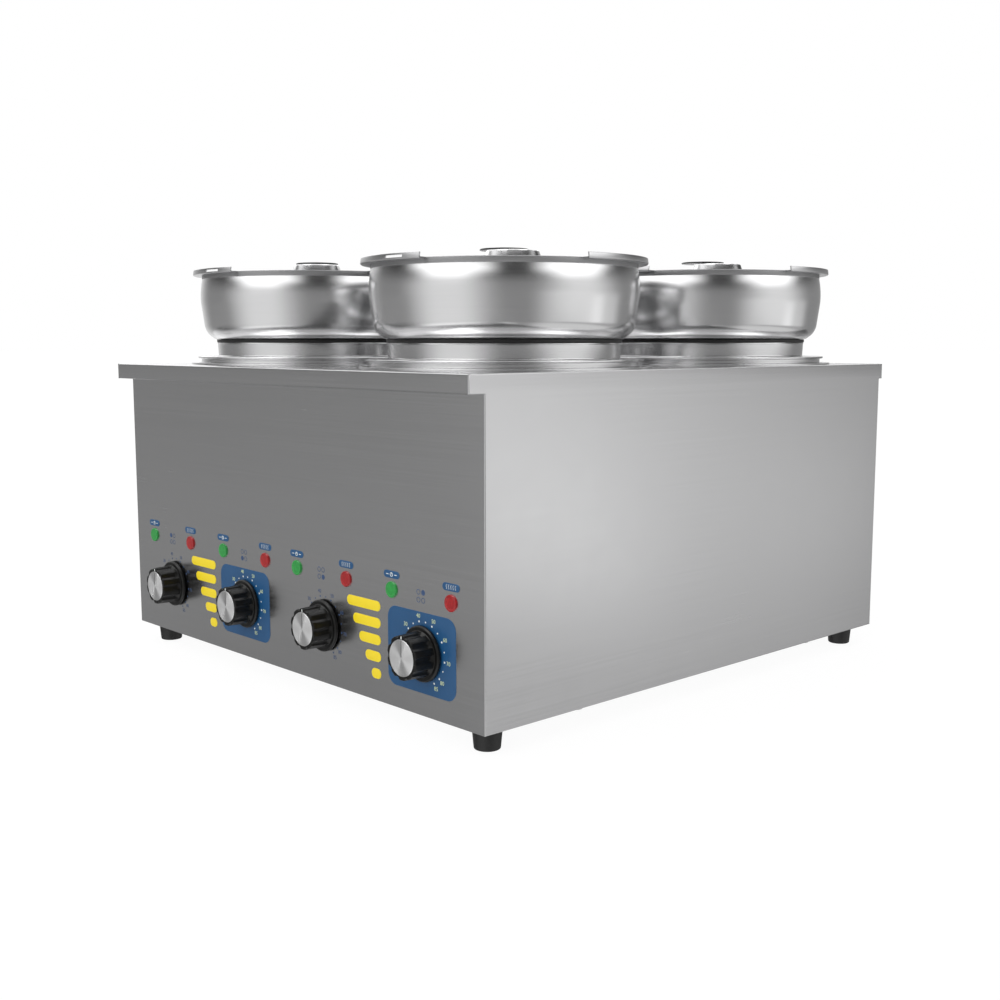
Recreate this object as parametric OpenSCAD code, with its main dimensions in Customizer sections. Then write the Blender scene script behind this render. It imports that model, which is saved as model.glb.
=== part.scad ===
// Counter-top bain marie with four lift-out round pots.
// Millimetres. +Z is up, the control panel faces -Y, and the origin is on the
// floor under the middle of the housing.

/* [Housing] */
// From the collars' base rings to the housing's sides
side_margin = 2.3; // [1:0.1:30]
// From the front collars' base rings to the deck's front edge
front_margin = 27.2; // [15:0.1:60]
// From the rear collars' base rings to the deck's rear edge
rear_margin = 3.7; // [1:0.1:40]
// Height of the housing, without its feet
body_h = 241; // [215:1:320]
// Thickness of the housing's sheet steel
sheet_t = 1; // [0.8:0.1:1.5]
// How far the deck stands out over the front panel
front_overhang = 14; // [6:0.5:20]
// How far the deck stands out over the rear panel
rear_overhang = 4.7; // [3:0.1:12]
// Height of the deck's folded lips
lip_h = 13.3; // [8:0.1:20]
// Width of the panels' inward bottom flanges
flange_w = 14; // [10:0.5:18]

/* [Feet] */
// Height of a rubber foot
foot_h = 17; // [12:0.5:40]
// Radius of a foot where it meets the base plate
foot_r_top = 11; // [9:0.25:14]
// Radius of a foot at the floor
foot_r_floor = 9.4; // [8:0.1:12]
// Distance of a foot's centre from the housing's sides
foot_inset = 20; // [18:0.5:40]

/* [Pot places] */
// Gap between the collars' base rings, left to right
collar_gap_x = 21.4; // [8:0.2:60]
// Gap between the collars' base rings, front to rear
collar_gap_y = 19.8; // [8:0.2:60]

/* [Wells and collars] */
// Water gap between a pot's lower body and its well
well_gap = 9; // [6:0.5:12]
// Wall thickness of a well
well_t = 1; // [0.8:0.1:1.5]
// Depth of a well below the deck
well_depth = 151; // [120:1:165]
// Width of the well's flange under the deck
well_flange_w = 11; // [6:0.5:11]
// How far the collar's step stands outside the well
step_out = 9; // [4:0.5:12]
// Width of the collar's flat base ring outside the step
base_ring_w = 8.5; // [6:0.5:12]
// How far the hem stands out from the step
hem_out = 2.8; // [1:0.1:5]
// Height of the step's top over the deck
collar_step_h = 7; // [5:0.5:12]
// Gap between a pot's lower body and the neck that it stands on
neck_gap = 1.8; // [1.2:0.1:4]
// Height of the neck's rolled edge over the deck
neck_h = 19.2; // [14:0.1:28]
// Sheet thickness of the collar
collar_t = 1; // [0.8:0.1:1.5]
// Thickness of the black seat ring on the neck
gasket_t = 2.8; // [1:0.1:4]

/* [Pots] */
// Radius of the pot's lower body
pot_low_r = 87; // [76:0.5:100]
// Depth of the pot's lower body below the deck
pot_depth = 133; // [100:1:145]
// Sheet thickness of a pot
pot_t = 1; // [0.8:0.1:1.5]
// How far the belly stands out from the lower body
belly_out = 17.2; // [14:0.1:20]
// Height of the largest radius over the shoulder
belly_rise = 36.5; // [30:0.5:44]
// Height of the rim over the shoulder
rim_rise = 57; // [52:0.5:70]
// Height of the rim's plain band
rim_band_h = 4.4; // [3:0.1:6]
// Width of the ledge that the lid lies on
ledge_w = 3; // [2:0.1:5]
// Radial clearance of the pot in the neck's rolled edge, and of the lid in the rim
lift_gap = 0.6; // [0.4:0.1:1]
// Gap under a piece that rests on another and can be lifted off
rest_gap = 0.2; // [0.1:0.05:0.4]

/* [Grips] */
// Angle of each grip strip round the rim
grip_angle = 115; // [70:0.5:120]
// How far the grip strip stands out from the rim
grip_reach = 7; // [5:0.5:12]
// Height of the grip's upturned edge over the grip's underside
grip_lip_h = 4.5; // [4:0.1:8]
// Sheet thickness of the grip
grip_t = 1.2; // [1:0.1:2]
// Width of the window near one end of each grip
grip_window_w = 19; // [10:0.5:24]
// Height of the window near one end of each grip
grip_window_h = 1.8; // [1.5:0.1:3]

/* [Lids] */
// Sheet thickness of a lid
lid_t = 1; // [0.8:0.1:1.5]
// Rise of the lid's dome over its edge
lid_rise = 3; // [1:0.5:8]
// Depth of the bead that centres the lid in the ledge
lid_bead_h = 4; // [3:0.5:8]
// Radius of the raised vent boss at its top
vent_r = 19.5; // [12:0.5:22]
// Height of the vent boss over the lid's edge
vent_h = 11.3; // [6:0.1:14]
// Distance of the vent boss from the lid's centre
vent_out = 44.4; // [42:0.1:60]
// Radius of the lid knob's top disc
lid_knob_r = 19; // [14:0.5:20]
// Height of the lid knob over the dome
lid_knob_h = 11.6; // [10:0.1:30]

/* [Control panel] */
// Distance between the middles of the two pairs of controls
pair_pitch = 229.2; // [222:0.2:236]
// Distance between the two controls of a pair
control_pitch = 119.2; // [112:0.2:124]
// Distance between the power lamp and the heat lamp of a control
lamp_pitch = 64.6; // [50:0.2:80]
// How far the dials lie right of the lamps' middle
dial_offset = 3; // [0:0.5:6]
// Height of the dials over the housing's bottom edge
dial_z = 45.4; // [36:0.2:60]
// Height of the lamps over the housing's bottom edge
lamp_z = 85.5; // [80:0.5:100]
// Height of the lamp labels over the lamps
label_rise = 11; // [9:0.5:16]

/* [Dials] */
// Radius of the dial knob's skirt
skirt_r = 20; // [18:0.5:24]
// Thickness of the dial knob's skirt
skirt_t = 2.6; // [2.6:0.1:4]
// Radius of the fluted grip at the skirt
fluted_r = 16.4; // [15:0.1:17.5]
// Radius of the fluted grip at its front
fluted_front_r = 15.9; // [14.6:0.1:16]
// Depth of the whole dial knob
knob_depth = 18.8; // [16:0.1:30]
// Number of flutes round the grip
flutes = 10; // [6:1:16]
// Radius of the bright cap
cap_r = 13; // [8:0.1:13.6]
// Thickness of the bright cap
cap_t = 1.6; // [1:0.1:2]
// How far the cap stands out of the grip
cap_proud = 0.2; // [0.1:0.1:1]
// Gap between the skirt and the front panel
skirt_gap = 1.5; // [0.6:0.1:2]
// Radius of the thermostat shaft
shaft_r = 3; // [2.5:0.25:4]
// Running clearance of the shaft, radially
shaft_fit = 0.05; // [0.02:0.01:0.1]

/* [Lamps and labels] */
// Radius of a lamp's lens
lens_r = 6; // [5.5:0.1:8]
// How far a lens stands out of the panel
lens_proud = 1.4; // [1:0.1:5]
// Radius of a lamp's body
lamp_body_r = 4.8; // [4:0.1:5]
// Width of a lamp label
label_w = 17.7; // [10:0.1:20]
// Height of a lamp label
label_h = 5.4; // [4:0.1:7]
// Thickness of the printed foils
foil_t = 0.3; // [0.2:0.05:0.4]
// Width of a blue dial plate
plate_w = 74; // [70:1:76]
// Height of a blue dial plate
plate_h = 58; // [52:1:60]
// How far the plate's middle lies left of its dial
plate_left = 3; // [0:0.5:4]
// Corner radius of a dial plate
plate_corner = 9; // [4:0.5:14]
// Length of the longest yellow bar
bar_w = 40; // [30:1:42]
// Gap between the yellow bars and the dial plate
bar_gap = 9; // [6:0.5:11]
// Number of yellow bars in a stack
bars = 5; // [3:1:7]

/* [Works inside] */
// Radius of the heating ring's centre line
heater_ring_r = 62; // [45:1:70]
// Radius of the heating ring's tube
heater_tube_r = 4; // [3:0.25:5]
// Thickness of the clamp disc under the heating ring
clamp_t = 1.5; // [1:0.1:3]
// Radius of a sensor bulb
bulb_r = 3; // [2:0.1:4]
// Length of a sensor bulb
bulb_l = 60; // [40:1:80]
// Radius of a capillary tube
capillary_r = 0.9; // [0.6:0.1:1.5]
// Width of a thermostat's case
thermostat_w = 38; // [34:1:44]
// Height of a thermostat's case
thermostat_h = 34; // [30:1:40]
// Depth of a thermostat's case
thermostat_d = 24; // [18:1:30]
// Radius of the cable's bore through the gland
gland_bore_r = 4.2; // [3:0.1:5]
// How far the gland stands out of the rear panel
gland_reach = 20.5; // [14:0.5:30]
// Length of the terminal block
terminal_l = 48; // [40:1:70]

/* [Hidden] */
$fn = 96;

steel = "silver";
polished = "lightgray";
black = "dimgray";

// Radii that follow from the pot's lower body
well_r = pot_low_r + well_gap;
collar_step_r = well_r + step_out;
collar_base_r = collar_step_r + base_ring_w;
collar_hem_r = collar_step_r + hem_out;
neck_r = pot_low_r + neck_gap + collar_t;
belly_r = pot_low_r + belly_out;

// Pitch of the pots and size of the housing round them
pitch_x = 2 * collar_base_r + collar_gap_x;
pitch_y = 2 * collar_base_r + collar_gap_y;
body_w = pitch_x + 2 * (collar_base_r + side_margin);
deck_d = pitch_y + 2 * collar_base_r + front_margin + rear_margin;
body_d = deck_d - front_overhang - rear_overhang;
grid_back = body_d / 2 + rear_overhang - rear_margin - collar_base_r - pitch_y / 2;

// Levels over the floor
bottom_z = foot_h;
base_top = bottom_z + sheet_t;
deck_z = bottom_z + body_h;
inner_x = body_w / 2 - sheet_t;
front_y = -body_d / 2;
rear_y = body_d / 2;
flange_end = 34;

// Pot places: front left, front right, rear left, rear right
pot_at = [for (row = [-1, 1], side = [-1, 1]) [side * pitch_x / 2, grid_back + row * pitch_y / 2]];

// Well and collar
well_outer_r = well_r + well_t;
well_flange_r = well_outer_r + well_flange_w;
hem_h = 1.8;
base_ring_t = 1.5;
neck_flare = 0.6;
neck_inner_r = neck_r - collar_t;
gasket_out = 1.2;
pocket_t = 1.3;
pocket_fit = 0.2;
pocket_r = bulb_r + pocket_fit + pocket_t;
pocket_l = bulb_l + 4;
pocket_at_r = well_outer_r + pocket_r - 0.5;
pocket_low = well_depth - 9;

// Pot outline, heights over the shoulder
seat_z = neck_h + gasket_t + rest_gap;
shoulder_out = 5.6;
shoulder_tilt = 52;
shoulder_arc = 15.8;
flare_tilt = 9.5;
belly_low_arc = 54;
belly_top_arc = 80;
pot_corner = 10;
rim_out = 0.9;
rim_band_t = 2;
band_low = rim_rise - rim_band_h;
top_turn = asin((band_low - belly_rise) / belly_top_arc);
band_r = belly_r - belly_top_arc * (1 - cos(top_turn)) + rim_out;
shoulder_r = pot_low_r + shoulder_out;

// Lid outline, heights over the ledge
ledge_r = band_r - rim_band_t - ledge_w;
lid_r = band_r - rim_band_t - lift_gap;
bead_r = ledge_r - lift_gap;
lid_z = band_low + rest_gap;
dome_r = (bead_r * bead_r + lid_rise * lid_rise) / (2 * lid_rise);
vent_angle = -35.6;
vent_slope = 2 / 7.3;
lid_knob_disc_t = 1.3;
lid_knob_stem_r = 7;
lid_knob_stem_low_r = 8.4;
lid_knob_foot_r = 11;
lid_knob_foot_h = 2;
lid_screw_r = 2;

// Grips
grip_turns = [46.5, 226.5];
grip_in_r = band_r - rim_out + 0.1;
grip_r = band_r + grip_reach;
grip_window_in = 13.2;
grip_window_low = grip_t + 0.1;
grip_bridge = 0.5;
grip_lean = 0.6;
grip_lip_top = max(grip_lip_h, grip_window_low + grip_window_h + grip_bridge);

// Controls, from the left
function control_x(k) = (k < 2 ? -1 : 1) * pair_pitch / 2 + (k % 2 == 0 ? -1 : 1) * control_pitch / 2;
function dial_x(k) = control_x(k) + dial_offset;
controls_left = 0.6;
dial_level = bottom_z + dial_z;
lamp_level = bottom_z + lamp_z;
// The pot that each dial heats, by its place in pot_at
heats = [2, 0, 1, 3];

// Dial knob
knob_back = skirt_gap;
skirt_recess_r = 17.5;
skirt_recess = 1.6;
flute_r = 3.4;
flute_at_r = fluted_r + 1.6;
bore_depth = 11;
shaft_flat = 0.8;
shaft_in = 12;
shaft_hole_r = shaft_r + 1.5;
pointer_w = 0.9;
pointer_deep = 0.5;
thermostat_screw_at = 14;
thermostat_screw_r = 1.5;
screw_head_r = 2.8;
screw_head_t = 1.2;

// Lamps
lamp_hole_r = lamp_body_r + 0.2;
lamp_body_l = 22;
lamp_nut_r = 7.5;
lamp_nut_t = 1.6;

// Works
heater_leg = 20;
heater_leg_r = heater_tube_r - 0.5;
heater_leg_turn = 9;
heater_tip = 7;
heater_tip_r = 1.5;
well_under = deck_z - well_depth;
clamp_z = well_under - 2 * heater_tube_r;
clamp_r = heater_ring_r + heater_tube_r + 8;
stud_r = 3;
nut_r = 6;
nut_t = 5;
nut_gap = 0.1;
stud_l = 2 * heater_tube_r + clamp_t + nut_t + 4;
capillary_level = dial_level - 10;

// Base, vents, gland and screws
foot_x = body_w / 2 - foot_inset;
foot_y = body_d / 2 - foot_inset;
foot_screw_r = 2;
foot_screw_gap = 0.1;
foot_head_r = 3.8;
foot_head_t = 2.4;
foot_recess_r = 4.6;
foot_recess = 8;
foot_nut_r = 4.2;
foot_nut_t = 3.2;
base_screw_r = 1.7;
base_screw_l = 6;
base_screw_head_r = 3.6;
base_screw_head_t = 2.2;
base_screws = [
    for (side = [-1, 1], along = [-1, 1]) [side * (inner_x - flange_w / 2), along * body_d * 0.3],
    for (side = [-1, 1], along = [-1, 1]) [along * body_w * 0.25, side * (body_d / 2 - sheet_t - flange_w / 2)]
];
vent_l = 40;
vent_w = 4;
vent_step = 12;
base_vents = 9;
rear_vents = 12;
rear_vent_z = bottom_z + 150;
gland_inset = 90;
gland_x = body_w / 2 - gland_inset;
gland_level = bottom_z + 38;
gland_thread_r = 7.9;
gland_hole_r = gland_thread_r + 0.1;
gland_hex_r = 12;
gland_hex_t = 6;
gland_dome_r = 9.5;
gland_inside = 11;
gland_lock_t = 4;
terminal_w = 20;
terminal_h = 17;
terminal_poles = 4;
terminal_back = 60;

// Places each pot's own pieces with the pot's axis at the origin
// and the deck's surface at zero
module at_pot(i) {
    translate([pot_at[i][0], pot_at[i][1], deck_z]) children();
}

// Places a control's pieces with the dial's axis along -Y from the panel's face
module at_dial(k) {
    translate([dial_x(k) - controls_left, front_y, dial_level]) children();
}

// Turns a piece drawn upwards so that it points out of the front panel
module outwards() {
    rotate([90, 0, 0]) children();
}

// Points of an arc, by centre, radius and turn
function arc(c, r, from, to, steps) =
    [for (n = [0:steps]) let (a = from + (to - from) * n / steps) [c[0] + r * cos(a), c[1] + r * sin(a)]];

// A flat bar with round ends, drawn upwards
module stadium(w, h, t) {
    union() {
        translate([-(w - h) / 2, -h / 2, 0]) cube([w - h, h, t]);
        for (side = [-1, 1]) translate([side * (w - h) / 2, 0, 0]) cylinder(r = h / 2, h = t);
    }
}

// A flat plate with round corners, drawn upwards
module rounded_plate(w, h, r, t) {
    union() {
        translate([-w / 2 + r, -h / 2, 0]) cube([w - 2 * r, h, t]);
        translate([-w / 2, -h / 2 + r, 0]) cube([w, h - 2 * r, t]);
        for (x = [-1, 1], y = [-1, 1])
            translate([x * (w / 2 - r), y * (h / 2 - r), 0]) cylinder(r = r, h = t);
    }
}

// Top sheet with four round openings, folded lips and welding flanges
module deck() {
    color(steel)
    difference() {
        union() {
            translate([-inner_x, front_y - front_overhang, deck_z - sheet_t])
                cube([2 * inner_x, deck_d, sheet_t]);
            lip(front_y - front_overhang, front_overhang, 1);
            lip(rear_y + rear_overhang, rear_overhang, -1);
            for (side = [-1, 1])
                translate([side * (inner_x - sheet_t / 2) - sheet_t / 2, front_y + 2 * sheet_t, deck_z - lip_h])
                    cube([sheet_t, body_d - 4 * sheet_t, lip_h]);
        }
        for (i = [0:3])
            at_pot(i) translate([0, 0, -2 * sheet_t]) cylinder(r = well_r, h = 3 * sheet_t);
    }
}

// Folded edge of the deck: a face and a return that meets the panel below
module lip(edge_y, reach, way) {
    face_y = way > 0 ? edge_y : edge_y - sheet_t;
    return_y = way > 0 ? edge_y : edge_y - reach;
    translate([-inner_x, face_y, deck_z - lip_h]) cube([2 * inner_x, sheet_t, lip_h]);
    translate([-inner_x, return_y, deck_z - lip_h]) cube([2 * inner_x, reach, sheet_t]);
}

// Front sheet with holes for the dials' shafts, their screws and the lamps
module front_panel() {
    color(steel)
    difference() {
        union() {
            translate([-inner_x, front_y, bottom_z]) cube([2 * inner_x, sheet_t, body_h - sheet_t]);
            translate([-inner_x + flange_end, front_y, base_top])
                cube([2 * (inner_x - flange_end), flange_w + sheet_t, sheet_t]);
        }
        for (k = [0:3]) {
            at_dial(k) outwards() {
                panel_hole(shaft_hole_r);
                for (side = [-1, 1])
                    translate([0, side * thermostat_screw_at, 0]) panel_hole(thermostat_screw_r + 0.1);
            }
            for (side = [-1, 1])
                at_lamp(k, side) panel_hole(lamp_hole_r);
        }
        base_screw_holes();
    }
}

module panel_hole(r) {
    translate([0, 0, -2 * sheet_t]) cylinder(r = r, h = 3 * sheet_t);
}

// Places a lamp, -1 the power lamp and 1 the heat lamp, drawn out of the panel
module at_lamp(k, side) {
    translate([control_x(k) - controls_left + side * lamp_pitch / 2, front_y, lamp_level]) outwards() children();
}

// Rear sheet with cooling slots and the gland's hole
module rear_panel() {
    color(steel)
    difference() {
        union() {
            translate([-inner_x, rear_y - sheet_t, bottom_z]) cube([2 * inner_x, sheet_t, body_h - sheet_t]);
            translate([-inner_x + flange_end, rear_y - sheet_t - flange_w, base_top])
                cube([2 * (inner_x - flange_end), flange_w + sheet_t, sheet_t]);
        }
        for (n = [0:rear_vents - 1])
            translate([(n - (rear_vents - 1) / 2) * vent_step, rear_y, rear_vent_z])
                rotate([90, 90, 0]) translate([0, 0, -sheet_t]) stadium(vent_l, vent_w, 3 * sheet_t);
        translate([gland_x, rear_y - 2 * sheet_t, gland_level]) rotate([-90, 0, 0])
            cylinder(r = gland_hole_r, h = 3 * sheet_t);
        base_screw_holes();
    }
}

// Side sheet that also closes the ends of the deck's lips
module side_panel(side) {
    color(steel)
    difference() {
        union() {
            translate([side * (inner_x + sheet_t / 2) - sheet_t / 2, 0, 0]) {
                translate([0, front_y, bottom_z]) cube([sheet_t, body_d, body_h]);
                translate([0, front_y - front_overhang, deck_z - lip_h])
                    cube([sheet_t, deck_d, lip_h]);
            }
            translate([side * (inner_x - flange_w / 2) - flange_w / 2, front_y + flange_end, base_top])
                cube([flange_w, body_d - 2 * flange_end, sheet_t]);
            translate([side * (inner_x + sheet_t / 2) - sheet_t / 2, front_y + flange_end, base_top])
                cube([sheet_t, body_d - 2 * flange_end, sheet_t]);
        }
        base_screw_holes();
    }
}

// Bottom sheet, under the panels' flanges
module base_plate() {
    color(steel)
    difference() {
        translate([-inner_x, front_y + sheet_t, bottom_z])
            cube([2 * inner_x, body_d - 2 * sheet_t, sheet_t]);
        for (x = [-1, 1], y = [-1, 1])
            translate([x * foot_x, y * foot_y, bottom_z - sheet_t])
                cylinder(r = foot_screw_r + foot_screw_gap, h = 3 * sheet_t);
        for (n = [0:base_vents - 1], side = [-1, 1])
            translate([side * pitch_x / 4, (n - (base_vents - 1) / 2) * vent_step, bottom_z - sheet_t])
                stadium(2 * vent_l, vent_w, 3 * sheet_t);
        base_screw_holes();
    }
}

module base_screw_holes() {
    for (at = base_screws)
        translate([at[0], at[1], bottom_z - sheet_t]) cylinder(r = base_screw_r, h = 4 * sheet_t);
}

// Spun ring on the deck: base ring, step with a hem, and the neck
module collar(i) {
    low = collar_step_h - hem_h;
    top_r = neck_r + neck_flare;
    color(polished)
    at_pot(i) rotate_extrude() polygon([
        [collar_step_r - collar_t, 0],
        [collar_base_r, 0],
        [collar_base_r, base_ring_t - 0.4],
        [collar_base_r - 0.4, base_ring_t],
        [collar_step_r, base_ring_t],
        [collar_step_r, low],
        [collar_hem_r - 0.3, low],
        [collar_hem_r, low + 0.3],
        [collar_hem_r, collar_step_h - 0.3],
        [collar_hem_r - 0.3, collar_step_h],
        [neck_r + 1, collar_step_h],
        [neck_r, collar_step_h + 1],
        [top_r, neck_h - 1],
        [top_r + 0.2, neck_h - 0.6],
        [top_r, neck_h],
        [neck_inner_r, neck_h],
        [neck_inner_r, collar_step_h - collar_t],
        [collar_step_r - collar_t, collar_step_h - collar_t]
    ]);
}

// Deep-drawn water well, hung under the deck, with a pocket for the sensor bulb
module well(i) {
    floor_z = -well_depth;
    color(steel)
    at_pot(i) union() {
        rotate_extrude() polygon([
            [0, floor_z],
            [well_outer_r - 6, floor_z],
            [well_outer_r - 2, floor_z + 2],
            [well_outer_r, floor_z + 6],
            [well_outer_r, -sheet_t - well_t],
            [well_flange_r, -sheet_t - well_t],
            [well_flange_r, -sheet_t],
            [well_r, -sheet_t],
            [well_r, floor_z + well_t + 6],
            [well_r - 2, floor_z + well_t + 2],
            [well_r - 6, floor_z + well_t],
            [0, floor_z + well_t]
        ]);
        difference() {
            translate([pocket_side(i) * pocket_at_r, 0, -pocket_low]) cylinder(r = pocket_r, h = pocket_l);
            translate([pocket_side(i) * pocket_at_r, 0, -pocket_low - 1])
                cylinder(r = bulb_r + pocket_fit, h = pocket_l + 2);
        }
    }
}

// The pockets face the middle of the housing
function pocket_side(i) = pot_at[i][0] < 0 ? 1 : -1;

// Black rings on the necks, which the pots' shoulders rest on
module seat_gaskets() {
    color("black")
    for (i = [0:3])
        at_pot(i) translate([0, 0, neck_h]) difference() {
            cylinder(r = neck_r + gasket_out, h = gasket_t);
            translate([0, 0, -1]) cylinder(r = neck_inner_r - 0.4, h = gasket_t + 2);
        }
}

// Outline of the belly, inset by a wall, from the shoulder to the rim band
function belly(wall) =
    let (
        low_c = [belly_r - belly_low_arc, belly_rise],
        top_c = [belly_r - belly_top_arc, belly_rise],
        turn_r = shoulder_arc,
        start_r = shoulder_r + 3,
        start_z = 3 / tan(shoulder_tilt),
        c = [start_r - turn_r * cos(shoulder_tilt), start_z + turn_r * sin(shoulder_tilt)]
    )
    concat(
        arc(c, turn_r - wall, -shoulder_tilt, -flare_tilt, 6),
        arc(low_c, belly_low_arc - wall, -flare_tilt, 0, 4),
        arc(top_c, belly_top_arc - wall, 0, top_turn, 4)
    );

// Stepped pot: lower body in the well, shoulder on the neck, belly, and a rim band that leaves
// room for the grips
module pot(i) {
    floor_z = -pot_depth - seat_z;
    inner_r = pot_low_r - pot_t;
    color(polished)
    at_pot(i) translate([0, 0, seat_z]) difference() {
        rotate_extrude() polygon(concat(
            [[0, floor_z]],
            arc([pot_low_r - pot_corner, floor_z + pot_corner], pot_corner, -90, 0, 5),
            [[pot_low_r, 0], [shoulder_r, 0]],
            belly(0),
            [[band_r, band_low + 0.5], [band_r, rim_rise - 0.5], [band_r - 0.5, rim_rise]],
            [[band_r - rim_band_t, rim_rise], [band_r - rim_band_t, band_low]],
            [[ledge_r, band_low], [ledge_r, band_low - pot_t]],
            [for (n = [len(belly(pot_t)) - 1:-1:0]) belly(pot_t)[n]],
            [[shoulder_r - 0.4, pot_t], [inner_r, pot_t]],
            arc([pot_low_r - pot_corner, floor_z + pot_corner], pot_corner - pot_t, 0, -90, 5),
            [[0, floor_z + pot_t]]
        ));
        for (turn = grip_turns)
            rotate([0, 0, turn - grip_angle / 2]) rotate_extrude(angle = grip_angle)
                translate([grip_in_r, band_low]) square([rim_out + 1, rim_band_h + 1]);
    }
}

// Two grip strips flush with the rim, each with an upturned edge and a window near one end
module pot_grips(i) {
    window_turn = grip_angle / 2 - grip_window_in;
    color(steel)
    at_pot(i) translate([0, 0, seat_z + rim_rise - grip_t])
        for (turn = grip_turns) rotate([0, 0, turn])
            difference() {
                rotate([0, 0, -grip_angle / 2]) rotate_extrude(angle = grip_angle) polygon([
                    [grip_in_r, 0],
                    [grip_r - 0.6, 0],
                    [grip_r, 0.6],
                    [grip_r - grip_lean, grip_lip_top],
                    [grip_r - grip_lean - grip_t, grip_lip_top],
                    [grip_r - grip_t, grip_t],
                    [grip_in_r, grip_t]
                ]);
                rotate([0, 0, window_turn])
                    translate([grip_r - grip_t - grip_lean - 1.5, -grip_window_w / 2, grip_window_low])
                        cube([grip_t + grip_lean + 3, grip_window_w, grip_window_h]);
            }
}

// Outline of the lid's dome, raised by a height
function dome(up) =
    [for (n = [0:8]) let (r = bead_r * (1 - n / 8)) [r, sqrt(dome_r * dome_r - r * r) - dome_r + lid_rise + up]];

// Shallow domed lid with a centring bead and a raised vent boss
module lid(i) {
    boss_low_r = vent_r + vent_h * vent_slope;
    color(polished)
    at_pot(i) translate([0, 0, seat_z + lid_z]) difference() {
        union() {
            rotate_extrude() polygon(concat(
                [[bead_r - lid_t, -lid_bead_h], [bead_r, -lid_bead_h], [bead_r, 0]],
                [[lid_r, 0], [lid_r, lid_t], [bead_r, lid_t]],
                dome(lid_t),
                [for (n = [8:-1:1]) dome(0)[n]],
                [[bead_r - lid_t, 0]]
            ));
            vent_place() cylinder(r1 = boss_low_r, r2 = vent_r, h = vent_h);
        }
        vent_place() translate([0, 0, -1])
            cylinder(r1 = boss_low_r - lid_t + vent_slope, r2 = vent_r - lid_t, h = vent_h + 1 - lid_t);
        cylinder(r = lid_screw_r, h = 3 * lid_rise + 3, center = true);
    }
}

module vent_place() {
    rotate([0, 0, vent_angle]) translate([vent_out, 0, 0]) children();
}

// Black knob in the middle of the lid, with its screw from below
module lid_knob(i) {
    foot_z = lid_z + lid_rise + lid_t;
    disc_z = lid_knob_h - lid_knob_disc_t;
    color(black)
    at_pot(i) translate([0, 0, seat_z + foot_z]) union() {
        rotate_extrude() polygon([
            [0, 0],
            [lid_knob_foot_r, 0],
            [lid_knob_foot_r, lid_knob_foot_h - 0.5],
            [lid_knob_stem_low_r + 1, lid_knob_foot_h],
            [lid_knob_stem_low_r, lid_knob_foot_h + 1.5],
            [lid_knob_stem_r, disc_z - 2],
            [lid_knob_stem_r + 2, disc_z],
            [lid_knob_r - 0.4, disc_z],
            [lid_knob_r, disc_z + 0.4],
            [lid_knob_r, lid_knob_h - 0.6],
            [lid_knob_r - 1, lid_knob_h],
            [0, lid_knob_h]
        ]);
        translate([0, 0, -lid_t - 2.4]) cylinder(r = lid_screw_r - 0.1, h = lid_t + 3);
        translate([0, 0, -lid_t - 3.6]) cylinder(r = lid_screw_r + 2, h = 2.4);
    }
}

// Fluted dial knob on a round skirt, with a seat for the bright cap
module knob(k) {
    seat = knob_depth - cap_t + cap_proud;
    color(black)
    at_dial(k) outwards() translate([0, 0, knob_back]) difference() {
        union() {
            cylinder(r = skirt_r, h = skirt_t - 1);
            translate([0, 0, skirt_t - 1]) cylinder(r1 = skirt_r, r2 = skirt_r - 1, h = 1);
            translate([0, 0, skirt_t]) difference() {
                cylinder(r1 = fluted_r, r2 = fluted_front_r, h = knob_depth - skirt_t);
                for (n = [0:flutes - 1]) rotate([0, 0, (n + 0.5) * 360 / flutes])
                    translate([flute_at_r, 0, 0.8]) cylinder(r = flute_r, h = knob_depth);
            }
        }
        translate([0, 0, -1]) cylinder(r = skirt_recess_r, h = skirt_recess + 1);
        translate([0, 0, seat]) cylinder(r = cap_r, h = cap_t + 1);
        translate([-pointer_w / 2, cap_r + 0.3, knob_depth - pointer_deep])
            cube([pointer_w, fluted_r - cap_r, pointer_deep + 1]);
        d_shaft(shaft_r + shaft_fit, skirt_recess - 1, bore_depth + 1);
    }
}

// Round bar with one flat, drawn upwards
module d_shaft(r, from, length) {
    translate([0, 0, from]) difference() {
        cylinder(r = r, h = length);
        translate([-2 * r, r - shaft_flat, -1]) cube([4 * r, 2 * r, length + 2]);
    }
}

// Bright metal disc in the front of the dial knob
module knob_cap(k) {
    color("whitesmoke")
    at_dial(k) outwards() translate([0, 0, knob_back + knob_depth - cap_t + cap_proud])
        union() {
            cylinder(r = cap_r, h = cap_t - 0.3);
            translate([0, 0, cap_t - 0.3]) cylinder(r1 = cap_r, r2 = cap_r - 0.3, h = 0.3);
        }
}

// Thermostat shaft: round in the case's bush, with a flat in the knob
module thermostat_shaft(k) {
    color("goldenrod")
    at_dial(k) outwards() union() {
        translate([0, 0, -shaft_in]) cylinder(r = shaft_r, h = shaft_in + knob_back + skirt_recess);
        d_shaft(shaft_r, knob_back + skirt_recess - 0.5, bore_depth - 1.5);
    }
}

// Capillary thermostat behind the panel: case, bush, terminals and tube outlet
module thermostat(k) {
    case_y = -thermostat_d;
    color("gray")
    at_dial(k) outwards() translate([0, 0, -sheet_t]) difference() {
        union() {
            translate([-thermostat_w / 2, -thermostat_h / 2, case_y]) cube([thermostat_w, thermostat_h, thermostat_d]);
            for (side = [-1, 1])
                translate([side * thermostat_w / 4 - 3, 2, case_y - 8]) cube([6, 0.8, 9]);
            translate([0, capillary_level - dial_level, case_y - 4]) cylinder(r = 2.2, h = 5);
        }
        translate([0, 0, -shaft_in - 1]) cylinder(r = shaft_r + shaft_fit, h = shaft_in + 2);
        for (side = [-1, 1])
            translate([0, side * thermostat_screw_at, -8]) cylinder(r = thermostat_screw_r, h = 9);
    }
}

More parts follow.
